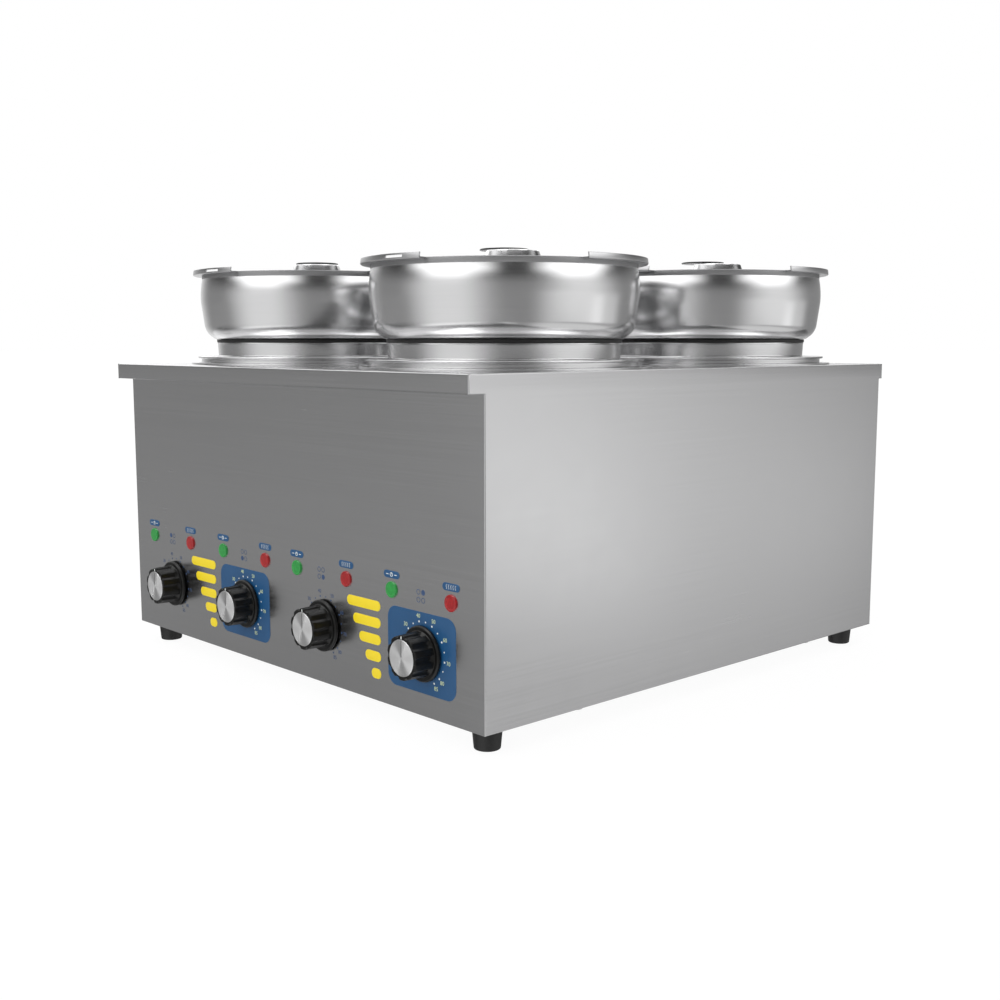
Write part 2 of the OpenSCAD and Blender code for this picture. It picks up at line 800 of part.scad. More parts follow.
// Tubular heating rings against the undersides of the wells
module heaters() {
    color("darkslategray")
    for (i = [0:3])
        translate([pot_at[i][0], pot_at[i][1], well_under - heater_tube_r]) union() {
            rotate_extrude() translate([heater_ring_r, 0]) circle(r = heater_tube_r);
            for (side = [-1, 1]) rotate([0, 0, pocket_side(i) * 90 + side * heater_leg_turn])
                translate([heater_ring_r, 0, -heater_leg]) {
                    cylinder(r = heater_leg_r, h = heater_leg);
                    translate([0, 0, -heater_tip]) cylinder(r = heater_tip_r, h = heater_tip + 1);
                }
        }
}

// Clamp discs that hold the heating rings up, each with its stud and nut
module heater_clamps() {
    color(steel)
    for (i = [0:3]) translate([pot_at[i][0], pot_at[i][1], 0]) {
        translate([0, 0, clamp_z - clamp_t]) difference() {
            cylinder(r = clamp_r, h = clamp_t);
            translate([0, 0, -1]) cylinder(r = stud_r + 0.2, h = clamp_t + 2);
            for (side = [-1, 1]) rotate([0, 0, pocket_side(i) * 90 + side * heater_leg_turn])
                translate([heater_ring_r, 0, -1]) cylinder(r = heater_tube_r + 1, h = clamp_t + 2);
        }
        translate([0, 0, well_under - stud_l]) cylinder(r = stud_r, h = stud_l);
        translate([0, 0, clamp_z - clamp_t - nut_t - nut_gap]) difference() {
            cylinder(r = nut_r, h = nut_t, $fn = 6);
            translate([0, 0, -1]) cylinder(r = stud_r + 0.05, h = nut_t + 2);
        }
    }
}

// Sensor bulbs in the wells' pockets
module sensor_bulbs() {
    color("tan")
    for (i = [0:3]) at_pot(i)
        translate([pocket_side(i) * pocket_at_r, 0, -pocket_low + 2]) cylinder(r = bulb_r, h = bulb_l);
}

// Thin tubes from the bulbs down and forward to the thermostats
module capillary_tubes() {
    color("tan")
    for (k = [0:3]) {
        i = heats[k];
        from = [pot_at[i][0] + pocket_side(i) * pocket_at_r, pot_at[i][1], deck_z - pocket_low + 2];
        turn = [from[0], from[1], capillary_level];
        out_y = front_y + sheet_t + thermostat_d + 4;
        bend = [dial_x(k) - controls_left, out_y + 8, capillary_level];
        end = [bend[0], out_y, capillary_level];
        union() {
            rod(from, turn, capillary_r);
            rod(turn, bend, capillary_r);
            rod(bend, end, capillary_r);
            translate(turn) sphere(r = capillary_r + 0.2, $fn = 24);
            translate(bend) sphere(r = capillary_r + 0.2, $fn = 24);
        }
    }
}

// Round rod between two points
module rod(a, b, r) {
    d = b - a;
    long = norm(d);
    translate(a) rotate([0, acos(d[2] / long), atan2(d[1], d[0])]) cylinder(r = r, h = long, $fn = 24);
}

// Signal lamp: lens outside the panel, body and nut behind it
module lamp() {
    union() {
        cylinder(r = lens_r, h = lens_proud - 0.8);
        translate([0, 0, lens_proud - 0.8]) cylinder(r1 = lens_r, r2 = lens_r - 1.2, h = 0.8);
        translate([0, 0, -lamp_body_l]) cylinder(r = lamp_body_r, h = lamp_body_l + 1);
        translate([0, 0, -sheet_t - lamp_nut_t]) cylinder(r = lamp_nut_r, h = lamp_nut_t, $fn = 6);
    }
}

module power_lamps() {
    color("limegreen")
    for (k = [0:3]) at_lamp(k, -1) lamp();
}

module heat_lamps() {
    color("crimson")
    for (k = [0:3]) at_lamp(k, 1) lamp();
}

// Blue foils behind every second dial
module dial_plates() {
    color("steelblue")
    for (k = [1, 3]) at_dial(k) outwards() difference() {
        translate([-plate_left, 0, 0]) rounded_plate(plate_w, plate_h, plate_corner, foil_t);
        translate([0, 0, -1]) cylinder(r = skirt_recess_r, h = foil_t + 2);
    }
}

// Yellow bars of growing length between the dials of a pair
module accent_bars() {
    bar_share = 0.6;
    bar_step = plate_h / (bars - 1 + bar_share);
    right = -plate_left - plate_w / 2 - bar_gap;
    color("gold")
    for (k = [1, 3]) at_dial(k) outwards()
        for (n = [0:bars - 1]) {
            long = bar_w * (n + 1.5) / (bars + 0.5);
            translate([right - long / 2, (n - (bars - 1) / 2) * bar_step, 0])
                stadium(long, bar_step * bar_share, foil_t);
        }
}

// Blue labels over the lamps
module lamp_labels() {
    color("steelblue")
    for (k = [0:3], side = [-1, 1])
        at_lamp(k, side) translate([0, label_rise, 0]) stadium(label_w, label_h, foil_t);
}

// Rubber feet, each with a recess for its screw
module feet() {
    color("black")
    for (x = [-1, 1], y = [-1, 1]) translate([x * foot_x, y * foot_y, 0]) rotate_extrude() polygon([
        [foot_recess_r, 0],
        [foot_r_floor - 1, 0],
        [foot_r_floor - 0.3, 0.3],
        [foot_r_floor, 1],
        [foot_r_top, foot_h],
        [foot_screw_r + foot_screw_gap, foot_h],
        [foot_screw_r + foot_screw_gap, foot_recess],
        [foot_recess_r, foot_recess]
    ]);
}

// Screws and nuts of the feet, the base plate and the thermostats
module fasteners() {
    color("gray") {
        for (x = [-1, 1], y = [-1, 1]) translate([x * foot_x, y * foot_y, 0]) {
            translate([0, 0, foot_recess - foot_head_t]) cylinder(r = foot_head_r, h = foot_head_t);
            translate([0, 0, foot_recess - 1]) cylinder(r = foot_screw_r, h = base_top - foot_recess + foot_nut_t + 2);
            translate([0, 0, base_top]) cylinder(r = foot_nut_r, h = foot_nut_t, $fn = 6);
        }
        for (at = base_screws) translate([at[0], at[1], bottom_z]) {
            translate([0, 0, -base_screw_head_t]) cylinder(r = base_screw_head_r, h = base_screw_head_t);
            translate([0, 0, -1]) cylinder(r = base_screw_r - 0.1, h = base_screw_l + 1);
        }
        for (k = [0:3], side = [-1, 1]) at_dial(k) outwards() translate([0, side * thermostat_screw_at, 0]) {
            cylinder(r = screw_head_r, h = screw_head_t);
            translate([0, 0, -7]) cylinder(r = thermostat_screw_r - 0.05, h = 8);
        }
    }
}

// Cable gland in the rear panel: hexagon, dome and thread, with its lock nut inside
module cable_gland() {
    color("dimgray")
    translate([gland_x, rear_y, gland_level]) rotate([-90, 0, 0]) {
        difference() {
            union() {
                cylinder(r = gland_hex_r, h = gland_hex_t, $fn = 6);
                cylinder(r = gland_dome_r, h = gland_reach - 3);
                translate([0, 0, gland_reach - 3]) cylinder(r1 = gland_dome_r, r2 = gland_dome_r - 3, h = 3);
                translate([0, 0, -gland_inside]) cylinder(r = gland_thread_r, h = gland_inside + 1);
            }
            translate([0, 0, -gland_inside - 1]) cylinder(r = gland_bore_r, h = gland_inside + gland_reach + 2);
        }
        translate([0, 0, -sheet_t - gland_lock_t]) difference() {
            cylinder(r = gland_hex_r, h = gland_lock_t, $fn = 6);
            translate([0, 0, -1]) cylinder(r = gland_thread_r + 0.05, h = gland_lock_t + 2);
        }
    }
}

// Terminal block on the base plate, inside near the gland
module terminal_block() {
    pole = terminal_l / terminal_poles;
    color("ivory")
    translate([gland_x, rear_y - terminal_back, base_top]) difference() {
        union() {
            translate([-terminal_l / 2, -terminal_w / 2, 0]) cube([terminal_l, terminal_w, terminal_h - 4]);
            translate([-terminal_l / 2, -terminal_w / 4, 0]) cube([terminal_l, terminal_w / 2, terminal_h]);
        }
        for (n = [0:terminal_poles - 1], side = [-1, 1])
            translate([(n + 0.5) * pole - terminal_l / 2, side * terminal_w * 0.37, terminal_h - 9])
                cylinder(r = 1.8, h = 10);
    }
}

deck();
front_panel();
rear_panel();
side_panel(-1);  // side_panel_left
side_panel(1);  // side_panel_right
base_plate();
collar(0);  // collar_1
collar(1);  // collar_2
collar(2);  // collar_3
collar(3);  // collar_4
well(0);  // well_1
well(1);  // well_2
well(2);  // well_3
well(3);  // well_4
seat_gaskets();
pot(0);  // pot_1
pot(1);  // pot_2
pot(2);  // pot_3
pot(3);  // pot_4
pot_grips(0);  // pot_grips_1
pot_grips(1);  // pot_grips_2
pot_grips(2);  // pot_grips_3
pot_grips(3);  // pot_grips_4
lid(0);  // lid_1
lid(1);  // lid_2
lid(2);  // lid_3
lid(3);  // lid_4
lid_knob(0);  // lid_knob_1
lid_knob(1);  // lid_knob_2
lid_knob(2);  // lid_knob_3
lid_knob(3);  // lid_knob_4
knob(0);  // knob_1
knob(1);  // knob_2
knob(2);  // knob_3
knob(3);  // knob_4
knob_cap(0);  // knob_cap_1
knob_cap(1);  // knob_cap_2
knob_cap(2);  // knob_cap_3
knob_cap(3);  // knob_cap_4
thermostat_shaft(0);  // thermostat_shaft_1
thermostat_shaft(1);  // thermostat_shaft_2
thermostat_shaft(2);  // thermostat_shaft_3
thermostat_shaft(3);  // thermostat_shaft_4
thermostat(0);  // thermostat_1
thermostat(1);  // thermostat_2
thermostat(2);  // thermostat_3
thermostat(3);  // thermostat_4
heaters();
heater_clamps();
sensor_bulbs();
capillary_tubes();
power_lamps();
heat_lamps();
dial_plates();
accent_bars();
lamp_labels();
feet();
fasteners();
cable_gland();
terminal_block();
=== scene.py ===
# Counter-top bain marie with four lift-out pots: its finishes and visible shapes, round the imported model.
# Metres, +Z up, the control panel faces -Y. Sizes in the dictionaries are millimetres.
import math
import bmesh
import bpy
from mathutils import Matrix, Vector


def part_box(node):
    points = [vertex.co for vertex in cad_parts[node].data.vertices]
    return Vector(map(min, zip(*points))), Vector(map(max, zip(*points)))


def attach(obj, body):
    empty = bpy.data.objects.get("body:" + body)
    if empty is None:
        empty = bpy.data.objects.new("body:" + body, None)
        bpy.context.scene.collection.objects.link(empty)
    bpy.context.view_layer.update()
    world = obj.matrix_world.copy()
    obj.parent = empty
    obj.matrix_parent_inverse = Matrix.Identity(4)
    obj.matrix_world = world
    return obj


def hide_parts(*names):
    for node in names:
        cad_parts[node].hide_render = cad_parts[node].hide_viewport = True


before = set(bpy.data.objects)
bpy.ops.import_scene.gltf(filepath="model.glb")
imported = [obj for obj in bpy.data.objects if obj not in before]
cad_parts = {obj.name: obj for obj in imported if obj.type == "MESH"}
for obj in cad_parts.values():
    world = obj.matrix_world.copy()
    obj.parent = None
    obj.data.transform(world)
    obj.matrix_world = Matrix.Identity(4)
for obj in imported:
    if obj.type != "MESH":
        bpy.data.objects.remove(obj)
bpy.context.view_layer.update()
mm = 0.001
fullTurn = 2 * math.pi


def middleOf(node):
    low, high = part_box(node)
    return (low + high) / 2


def drawingBox(node):
    # Left, front, bottom, right, rear and top of a CAD node's box, in millimetres
    return [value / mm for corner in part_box(node) for value in corner]


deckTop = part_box("deck")[1].z
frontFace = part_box("front_panel")[0].y
potPlaces = [middleOf(f"pot_{n}").xy for n in range(1, 5)]
dialPlaces = [middleOf(f"knob_{n}") for n in range(1, 5)]
outOfPanel = Matrix.Rotation(math.radians(90), 4, "X")   # a piece drawn upwards then points out of the panel
alongX = Matrix(((0, 0, 1, 0), (1, 0, 0, 0), (0, 1, 0, 0), (0, 0, 0, 1)))   # drawn as (y, z), run along x
print("frame loaded")

# The photograph's viewing angle
view = {"place": (0.83063, -0.78549, 0.27909), "turn": (82.689, 0, 46.745), "lens": 44.805, "sensor": 36}


def link(thing):
    bpy.context.scene.collection.objects.link(thing)
    return thing


camera = link(bpy.data.objects.new("camera", bpy.data.cameras.new("camera")))
camera.location = view["place"]
camera.rotation_euler = [math.radians(a) for a in view["turn"]]
camera.data.lens = view["lens"]
camera.data.sensor_width = view["sensor"]
bpy.context.scene.camera = camera


# Outlines and meshes, drawn in millimetres

def roundedPath(corners, steps=4):
    # Closed path through (across, up) or (across, up, radius), with an arc at each corner that has a radius
    path = []
    for n, corner in enumerate(corners):
        here = Vector(corner[:2])
        radius = corner[2] if len(corner) > 2 else 0
        if not radius:
            path.append(here)
            continue
        back = (Vector(corners[n - 1][:2]) - here).normalized()
        ahead = (Vector(corners[(n + 1) % len(corners)][:2]) - here).normalized()
        half = back.angle(ahead) / 2
        centre = here + (back + ahead).normalized() * radius / math.sin(half)
        first = here + back * radius / math.tan(half) - centre
        last = here + ahead * radius / math.tan(half) - centre
        start = math.atan2(first.y, first.x)
        sweep = (math.atan2(last.y, last.x) - start + math.pi) % fullTurn - math.pi
        for k in range(steps + 1):
            angle = start + sweep * k / steps
            path.append(centre + radius * Vector((math.cos(angle), math.sin(angle))))
    return path


def arcPath(centre, radius, start, stop, steps):
    # Points of an arc, angles in degrees
    angles = [math.radians(start + (stop - start) * n / steps) for n in range(steps + 1)]
    return [Vector((centre[0] + radius * math.cos(a), centre[1] + radius * math.sin(a))) for a in angles]


def lathe(mesh, path, steps=192, place=(0, 0, 0), span=360, start=0, radiusAt=None):
    # Turns a closed path of (radius, height) round the Z axis. radiusAt(radius, height, angle) may shape it.
    whole = span == 360
    rings = []
    for n in range(steps if whole else steps + 1):
        angle = math.radians(start + span * n / steps)
        ring = []
        for radius, height in path:
            r = radiusAt(radius, height, angle) if radiusAt else radius
            ring.append(mesh.verts.new((place[0] + r * math.cos(angle), place[1] + r * math.sin(angle),
                                        place[2] + height)))
        rings.append(ring)
    count = len(path)
    for n in range(len(rings) if whole else len(rings) - 1):
        here, after = rings[n], rings[(n + 1) % len(rings)]
        for k in range(count):
            if path[k][0] < 1e-6 and path[(k + 1) % count][0] < 1e-6:
                continue   # a stretch on the axis has no surface
            mesh.faces.new((here[k], after[k], after[(k + 1) % count], here[(k + 1) % count]))
    if not whole:
        mesh.faces.new(rings[0])
        mesh.faces.new(list(reversed(rings[-1])))
    bmesh.ops.remove_doubles(mesh, verts=mesh.verts, dist=1e-4)


def joinRings(mesh, rings):
    # Walls between closed rings that follow each other, and a face on the last and the first one
    for low, high in zip(rings, rings[1:]):
        for n in range(len(low)):
            after = (n + 1) % len(low)
            mesh.faces.new((low[n], low[after], high[after], high[n]))
    mesh.faces.new(rings[-1])
    mesh.faces.new(list(reversed(rings[0])))


def insetPath(path, depth):
    # The same closed path moved inwards, for paths that run anticlockwise
    moved = []
    for n, here in enumerate(path):
        into = (here - path[n - 1]).normalized()
        out = (path[(n + 1) % len(path)] - here).normalized()
        normal = Vector((-into.y, into.x)) + Vector((-out.y, out.x))
        moved.append(here + normal * depth / max(0.2, 1 + into.dot(out)))
    return moved


def plate(mesh, path, thick, edge, base=0, steps=3):
    # Flat plate with a rounded front edge: the path is its outline, anticlockwise, seen from the front
    levels = [(base, 0)]
    for k in range(steps + 1):
        angle = math.pi / 2 * k / steps
        levels.append((base + thick - edge + edge * math.sin(angle), edge * (1 - math.cos(angle))))
    joinRings(mesh, [[mesh.verts.new((p.x, p.y, height)) for p in insetPath(path, depth)]
                     for height, depth in levels])


def prism(mesh, path, start, stop, turn=None):
    # Extrudes a closed path of (x, y) along Z, from start to stop, then turns it
    rings = [[mesh.verts.new((p[0], p[1], height)) for p in path] for height in (start, stop)]
    joinRings(mesh, rings)
    if turn:
        bmesh.ops.transform(mesh, matrix=turn, verts=rings[0] + rings[1])


def roundedRectangle(width, height, radius, middle=(0, 0), steps=6):
    x, y = width / 2, height / 2
    corners = [(-x, -y, radius), (x, -y, radius), (x, y, radius), (-x, y, radius)]
    return [p + Vector(middle) for p in roundedPath(corners, steps)]


def hexagon(radius, corner=0.4):
    angles = [fullTurn * n / 6 for n in range(6)]
    return roundedPath([(radius * math.cos(a), radius * math.sin(a), corner) for a in angles], 3)


def meshOf(drawing, name):
    # Turns a drawing in millimetres into mesh data in metres
    bmesh.ops.recalc_face_normals(drawing, faces=drawing.faces)
    bmesh.ops.scale(drawing, vec=(mm, mm, mm), verts=drawing.verts)
    data = bpy.data.meshes.new(name)
    drawing.to_mesh(data)
    drawing.free()
    return data


def smooth(data, sharpAngle=32):
    data.shade_smooth()
    data.set_sharp_from_angle(angle=math.radians(sharpAngle))


def addPiece(name, mesh, finish, body, place=(0, 0, 0), turn=None, nodes=(), sharpAngle=32):
    # Turns a drawing into a piece that rides on a body
    data = meshOf(mesh, name)
    data.materials.append(finish)
    smooth(data, sharpAngle)
    piece = link(bpy.data.objects.new(name, data))
    piece.matrix_world = Matrix.Translation(place) @ (turn or Matrix.Identity(4))
    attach(piece, body)
    if nodes:
        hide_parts(*nodes)
    return piece


def addToPanel(name, mesh, finish, nodes=()):
    # The same for a drawing on the panel's face: x and z in millimetres, the third size points outwards
    addPiece(name, mesh, finish, "housing", (0, frontFace, 0), outOfPanel, nodes)


def cutAway(piece, cutter):
    # Takes a drawing, made in the piece's own space, out of the piece
    tool = bpy.data.objects.new("cutter", meshOf(cutter, "cutter"))
    tool.matrix_world = piece.matrix_world.copy()
    link(tool)
    modifier = piece.modifiers.new("cut", "BOOLEAN")
    modifier.operation = "DIFFERENCE"
    modifier.solver = "EXACT"
    modifier.object = tool
    bpy.context.view_layer.update()
    shaped = piece.evaluated_get(bpy.context.evaluated_depsgraph_get())
    result = bpy.data.meshes.new_from_object(shaped)
    result.name = piece.name
    piece.modifiers.remove(modifier)
    piece.data = result
    smooth(result)
    bpy.data.objects.remove(tool)


def dress(node, finish):
    # Gives a CAD node that stays in view its own finish
    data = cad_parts[node].data
    data.materials.clear()
    data.materials.append(finish)


# Finishes

def addNode(tree, kind, inputs=None, **settings):
    node = tree.nodes.new(kind)
    for name, value in settings.items():
        setattr(node, name, value)
    for name, value in (inputs or {}).items():
        if isinstance(value, bpy.types.NodeSocket):
            tree.links.new(value, node.inputs[name])
        else:
            node.inputs[name].default_value = value
    return node


def reckon(tree, operation, *values):
    return addNode(tree, "ShaderNodeMath", dict(enumerate(values)), operation=operation).outputs[0]


def noise(tree, place, scale, detail, roughness=0.5):
    inputs = {"Vector": place, "Scale": scale, "Detail": detail, "Roughness": roughness}
    return addNode(tree, "ShaderNodeTexNoise", inputs).outputs["Fac"]


def spread(tree, value, middle, reach):
    # Maps a noise value round its middle to a range round another middle
    ends = {"From Min": 0.3, "From Max": 0.7, "To Min": middle - reach, "To Max": middle + reach}
    return addNode(tree, "ShaderNodeMapRange", {"Value": value} | ends).outputs[0]


def toneRound(tree, value, tone, change):
    # A colour that wanders a little round a tone
    dark = [c * (1 - change) for c in tone] + [1]
    light = [min(1, c * (1 + change)) for c in tone] + [1]
    return addNode(tree, "ShaderNodeMix", {"Factor": value, "A": dark, "B": light},
                   data_type="RGBA").outputs["Result"]


def relief(tree, height, strength, distance=0.0001, under=None):
    inputs = {"Height": height, "Strength": strength, "Distance": distance}
    if under:
        inputs["Normal"] = under
    return addNode(tree, "ShaderNodeBump", inputs).outputs[0]


def fromAxis(tree, place):
    # Distance from the piece's own axis, and the height along it
    split = addNode(tree, "ShaderNodeSeparateXYZ", {"Vector": place}).outputs
    flat = addNode(tree, "ShaderNodeCombineXYZ", {"X": split["X"], "Y": split["Y"]}).outputs[0]
    return addNode(tree, "ShaderNodeVectorMath", {0: flat}, operation="LENGTH").outputs["Value"], split["Z"]


def newFinish(name, sockets):
    # Material, node tree, and the place on the piece that every pattern is drawn by
    finish = bpy.data.materials.new(name)
    finish.use_nodes = True
    tree = finish.node_tree
    for socket, value in sockets.items():
        tree.nodes["Principled BSDF"].inputs[socket].default_value = value
    return finish, tree, addNode(tree, "ShaderNodeTexCoord").outputs["Object"]


def wire(tree, links):
    for socket, value in links.items():
        tree.links.new(value, tree.nodes["Principled BSDF"].inputs[socket])


def sheetSteel(name, look):
    # Satin rolled sheet: long fine grain, faint cloudiness, a few handling marks
    finish, tree, place = newFinish(name, {"Metallic": 1})
    stretched = addNode(tree, "ShaderNodeMapping", {"Vector": place, "Scale": look["grainScale"]}).outputs[0]
    grain = noise(tree, stretched, 1, 5)
    cloudy = reckon(tree, "ADD", noise(tree, place, 7, 3), noise(tree, place, 45, 6, 0.7))
    rough = spread(tree, reckon(tree, "MULTIPLY", cloudy, 0.5), look["roughness"], look["roughChange"])
    wire(tree, {"Base Color": toneRound(tree, grain, look["tone"], 0.04),
                "Roughness": reckon(tree, "ADD", rough, spread(tree, grain, 0, 0.02)),
                "Normal": relief(tree, grain, look["grainDepth"])})
    return finish


def spunSteel(name, look):
    # Spun and buffed steel: fine rings round the piece's own axis, soft waviness from the spinning
    finish, tree, place = newFinish(name, {"Metallic": 1})
    out, height = fromAxis(tree, place)
    drift = reckon(tree, "MULTIPLY", noise(tree, place, 9, 2), 0.002)
    across = {"X": reckon(tree, "ADD", out, drift), "Z": height}
    rings = noise(tree, addNode(tree, "ShaderNodeCombineXYZ", across).outputs[0], look["ringScale"], 4)
    marks = spread(tree, noise(tree, place, 60, 6, 0.7), 0, look["roughChange"])
    wavy = relief(tree, noise(tree, place, 14, 1), look["waviness"], 0.001)
    wire(tree, {"Base Color": toneRound(tree, rings, look["tone"], 0.03),
                "Roughness": reckon(tree, "ADD", spread(tree, rings, look["roughness"], 0.01), marks),
                "Normal": relief(tree, rings, look["ringDepth"], under=wavy)})
    return finish


def mouldedFinish(name, look):
    # Moulded plastic, rubber or printed film: fine skin texture, slight colour drift, rubbed patches
    finish, tree, place = newFinish(name, {"Coat Weight": look.get("coat", 0), "Coat Roughness": 0.08,
                                           "Specular IOR Level": look.get("specular", 0.5)})
    skin, rubbed = noise(tree, place, look["skinScale"], 3), noise(tree, place, 90, 5)
    wire(tree, {"Base Color": toneRound(tree, rubbed, look["tone"], look["toneChange"]),
                "Roughness": spread(tree, rubbed, look["roughness"], 0.05),
                "Normal": relief(tree, skin, look["skinDepth"])})
    return finish


def turnedFinish(name, look):
    # Face-turned metal disc: concentric tool marks that stretch the highlights across them
    finish, tree, place = newFinish(name, {"Metallic": 1, "Anisotropic": look["anisotropic"],
                                           "Anisotropic Rotation": 0.25})
    out, height = fromAxis(tree, place)
    rings = noise(tree, addNode(tree, "ShaderNodeCombineXYZ", {"X": out}).outputs[0], look["ringScale"], 3)
    wire(tree, {"Base Color": toneRound(tree, rings, look["tone"], 0.05),
                "Roughness": spread(tree, rings, look["roughness"], 0.04),
                "Normal": relief(tree, rings, 0.02),
                "Tangent": addNode(tree, "ShaderNodeTangent", direction_type="RADIAL", axis="Z").outputs[0]})
    return finish


def lensFinish(name, look):
    # Tinted lamp lens: clear top coat over coloured plastic with small prisms inside
    finish, tree, place = newFinish(name, {"Roughness": 0.3, "Coat Weight": 0.25, "Coat Roughness": 0.15,
                                           "Transmission Weight": 0.15})
    prisms = addNode(tree, "ShaderNodeTexVoronoi", {"Vector": place, "Scale": 700}).outputs["Distance"]
    wire(tree, {"Base Color": toneRound(tree, prisms, look["tone"], 0.25),
                "Normal": relief(tree, prisms, 0.25, 0.0003)})
    return finish


def steelTone(level):
    return level, level, level + 0.005


housingLook = {"tone": steelTone(0.6), "roughness": 0.24, "roughChange": 0.02, "grainScale": (6, 6, 1400),
               "grainDepth": 0.02}
housingSteel = sheetSteel("satinSheetSteel", housingLook)
deckSteel = sheetSteel("satinDeckSteel", housingLook | {"grainScale": (6, 1400, 1400)})
wellSteel = spunSteel("drawnWellSteel", {"tone": steelTone(0.74), "roughness": 0.33, "roughChange": 0.04,
                                         "ringScale": 500, "ringDepth": 0.1, "waviness": 0.02})
potSteel = spunSteel("buffedPotSteel", {"tone": steelTone(0.7), "roughness": 0.2, "roughChange": 0.015,
                                        "ringScale": 900, "ringDepth": 0.02, "waviness": 0.01})
collarSteel = spunSteel("spunCollarSteel", {"tone": steelTone(0.66), "roughness": 0.22, "roughChange": 0.02,
                                            "ringScale": 1400, "ringDepth": 0.015, "waviness": 0.006})
gripLook = {"tone": steelTone(0.6), "roughness": 0.3, "roughChange": 0.02, "ringScale": 1500,
            "ringDepth": 0.06, "waviness": 0.01}
gripSteel = spunSteel("satinGripSteel", gripLook)
bandSteel = spunSteel("rolledBandSteel", gripLook | {"tone": steelTone(0.34), "roughness": 0.5,
                                                     "roughChange": 0.03, "waviness": 0})
elementSteel = spunSteel("heatedElementSteel", {"tone": (0.2, 0.19, 0.2), "roughness": 0.5,
                                                "roughChange": 0.06, "ringScale": 400, "ringDepth": 0.1,
                                                "waviness": 0.02})
screwSteel = sheetSteel("screwSteel", housingLook | {"roughness": 0.35, "grainScale": (300, 300, 300)})
tubeCopper = sheetSteel("tubeCopper", {"tone": (0.75, 0.42, 0.28), "roughness": 0.35, "roughChange": 0.05,
                                       "grainScale": (200, 200, 200), "grainDepth": 0.05})
capAluminium = turnedFinish("turnedCapAluminium", {"tone": (0.86, 0.86, 0.86), "roughness": 0.4,
                                                   "anisotropic": 0.9, "ringScale": 2500})
blackPhenolic = mouldedFinish("blackKnobPlastic", {"tone": (0.004, 0.004, 0.0036), "toneChange": 0.15,
                                                   "roughness": 0.34, "skinScale": 2600, "skinDepth": 0.08,
                                                   "specular": 0.3})
glossBlack = mouldedFinish("glossBlackPlastic", {"tone": (0.01, 0.01, 0.01), "toneChange": 0.1,
                                                 "roughness": 0.12, "skinScale": 400, "skinDepth": 0.03})
sealLook = {"tone": (0.006, 0.006, 0.006), "toneChange": 0.2, "roughness": 0.5, "skinScale": 1500,
            "skinDepth": 0.2}
sealRubber = mouldedFinish("sealRubber", sealLook)
footRubber = mouldedFinish("footRubber", sealLook | {"tone": (0.005, 0.005, 0.005), "roughness": 0.55,
                                                     "skinScale": 1800, "skinDepth": 0.3})
glandPlastic = mouldedFinish("glandPlastic", {"tone": (0.03, 0.03, 0.032), "toneChange": 0.1,
                                              "roughness": 0.45, "skinScale": 1500, "skinDepth": 0.15})
resinLook = {"tone": (0.55, 0.53, 0.47), "toneChange": 0.05, "roughness": 0.45, "skinScale": 900,
             "skinDepth": 0.1}
caseResin = mouldedFinish("thermostatResin", resinLook)
terminalPlastic = mouldedFinish("terminalPlastic", resinLook | {"tone": (0.72, 0.68, 0.55), "roughness": 0.4})
filmLook = {"roughness": 0.38, "skinScale": 1200, "skinDepth": 0.05, "coat": 0.2}
blueFilm = mouldedFinish("bluePrintedFilm", filmLook | {"tone": (0.01, 0.076, 0.195), "toneChange": 0.06})
yellowFilm = mouldedFinish("yellowPrintedFilm", filmLook | {"tone": (0.88, 0.68, 0.012), "toneChange": 0.03})
inkLook = {"toneChange": 0.03, "roughness": 0.5, "skinScale": 2000, "skinDepth": 0.05}
whiteInk = mouldedFinish("whiteInk", inkLook | {"tone": (0.8, 0.84, 0.82)})
numberInk = mouldedFinish("paleNumberInk", inkLook | {"tone": (0.62, 0.72, 0.42)})
blueInk = mouldedFinish("blueInk", inkLook | {"tone": (0.035, 0.07, 0.16), "toneChange": 0.05})
greenLens = lensFinish("greenLens", {"tone": (0.02, 0.33, 0.055)})
redLens = lensFinish("redLens", {"tone": (0.38, 0.006, 0.008)})
print("finishes made")

# Housing: deck with folded lips, side sheets with rounded front and rear edges
housing = {"sheet": 1, "foldRadius": 1.1, "sideEdge": 0.9, "lipHeight": 13.3, "wellHole": 96, "holeReach": 4,
           "flange": 14, "flangeInset": 34}
bodyFront, bodyRear = frontFace / mm, drawingBox("rear_panel")[4]
potSpots = [(place.x / mm, place.y / mm) for place in potPlaces]
dialSpots = [(place.x / mm, place.z / mm) for place in dialPlaces]


def sideStrip(mesh, side, outer, width, inset, low, high):
    # Flat bar along the left or right side, between two heights
    front, rear, inner = bodyFront + inset, bodyRear - inset, outer - width
    path = [(side * outer, front), (side * outer, rear), (side * inner, rear), (side * inner, front)]
    prism(mesh, path, low, high)


def makeDeck():
    left, front, _, right, rear, top = drawingBox("deck")
    t, outer = housing["sheet"], housing["foldRadius"]
    inner = outer - t
    bottom = top - housing["lipHeight"]
    corners = [
        (bodyFront, bottom), (front, bottom, outer), (front, top, outer), (rear, top, outer),
        (rear, bottom, outer), (bodyRear, bottom), (bodyRear, bottom + t), (rear - t, bottom + t, inner),
        (rear - t, top - t, inner), (front + t, top - t, inner), (front + t, bottom + t, inner),
        (bodyFront, bottom + t)]
    mesh = bmesh.new()
    prism(mesh, roundedPath(corners, 5), left, right, alongX)
    for side in (-1, 1):
        sideStrip(mesh, side, right, t, 2 * t, bottom, top - t)
    deck = addPiece("deckSheet", mesh, deckSteel, "housing", nodes=["deck"])
    holes = bmesh.new()
    radius, reach = housing["wellHole"], housing["holeReach"]
    path = [(0, top - reach), (radius, top - reach), (radius, top + reach), (0, top + reach)]
    for spot in potSpots:
        lathe(holes, path, 128, (*spot, 0))
    cutAway(deck, holes)


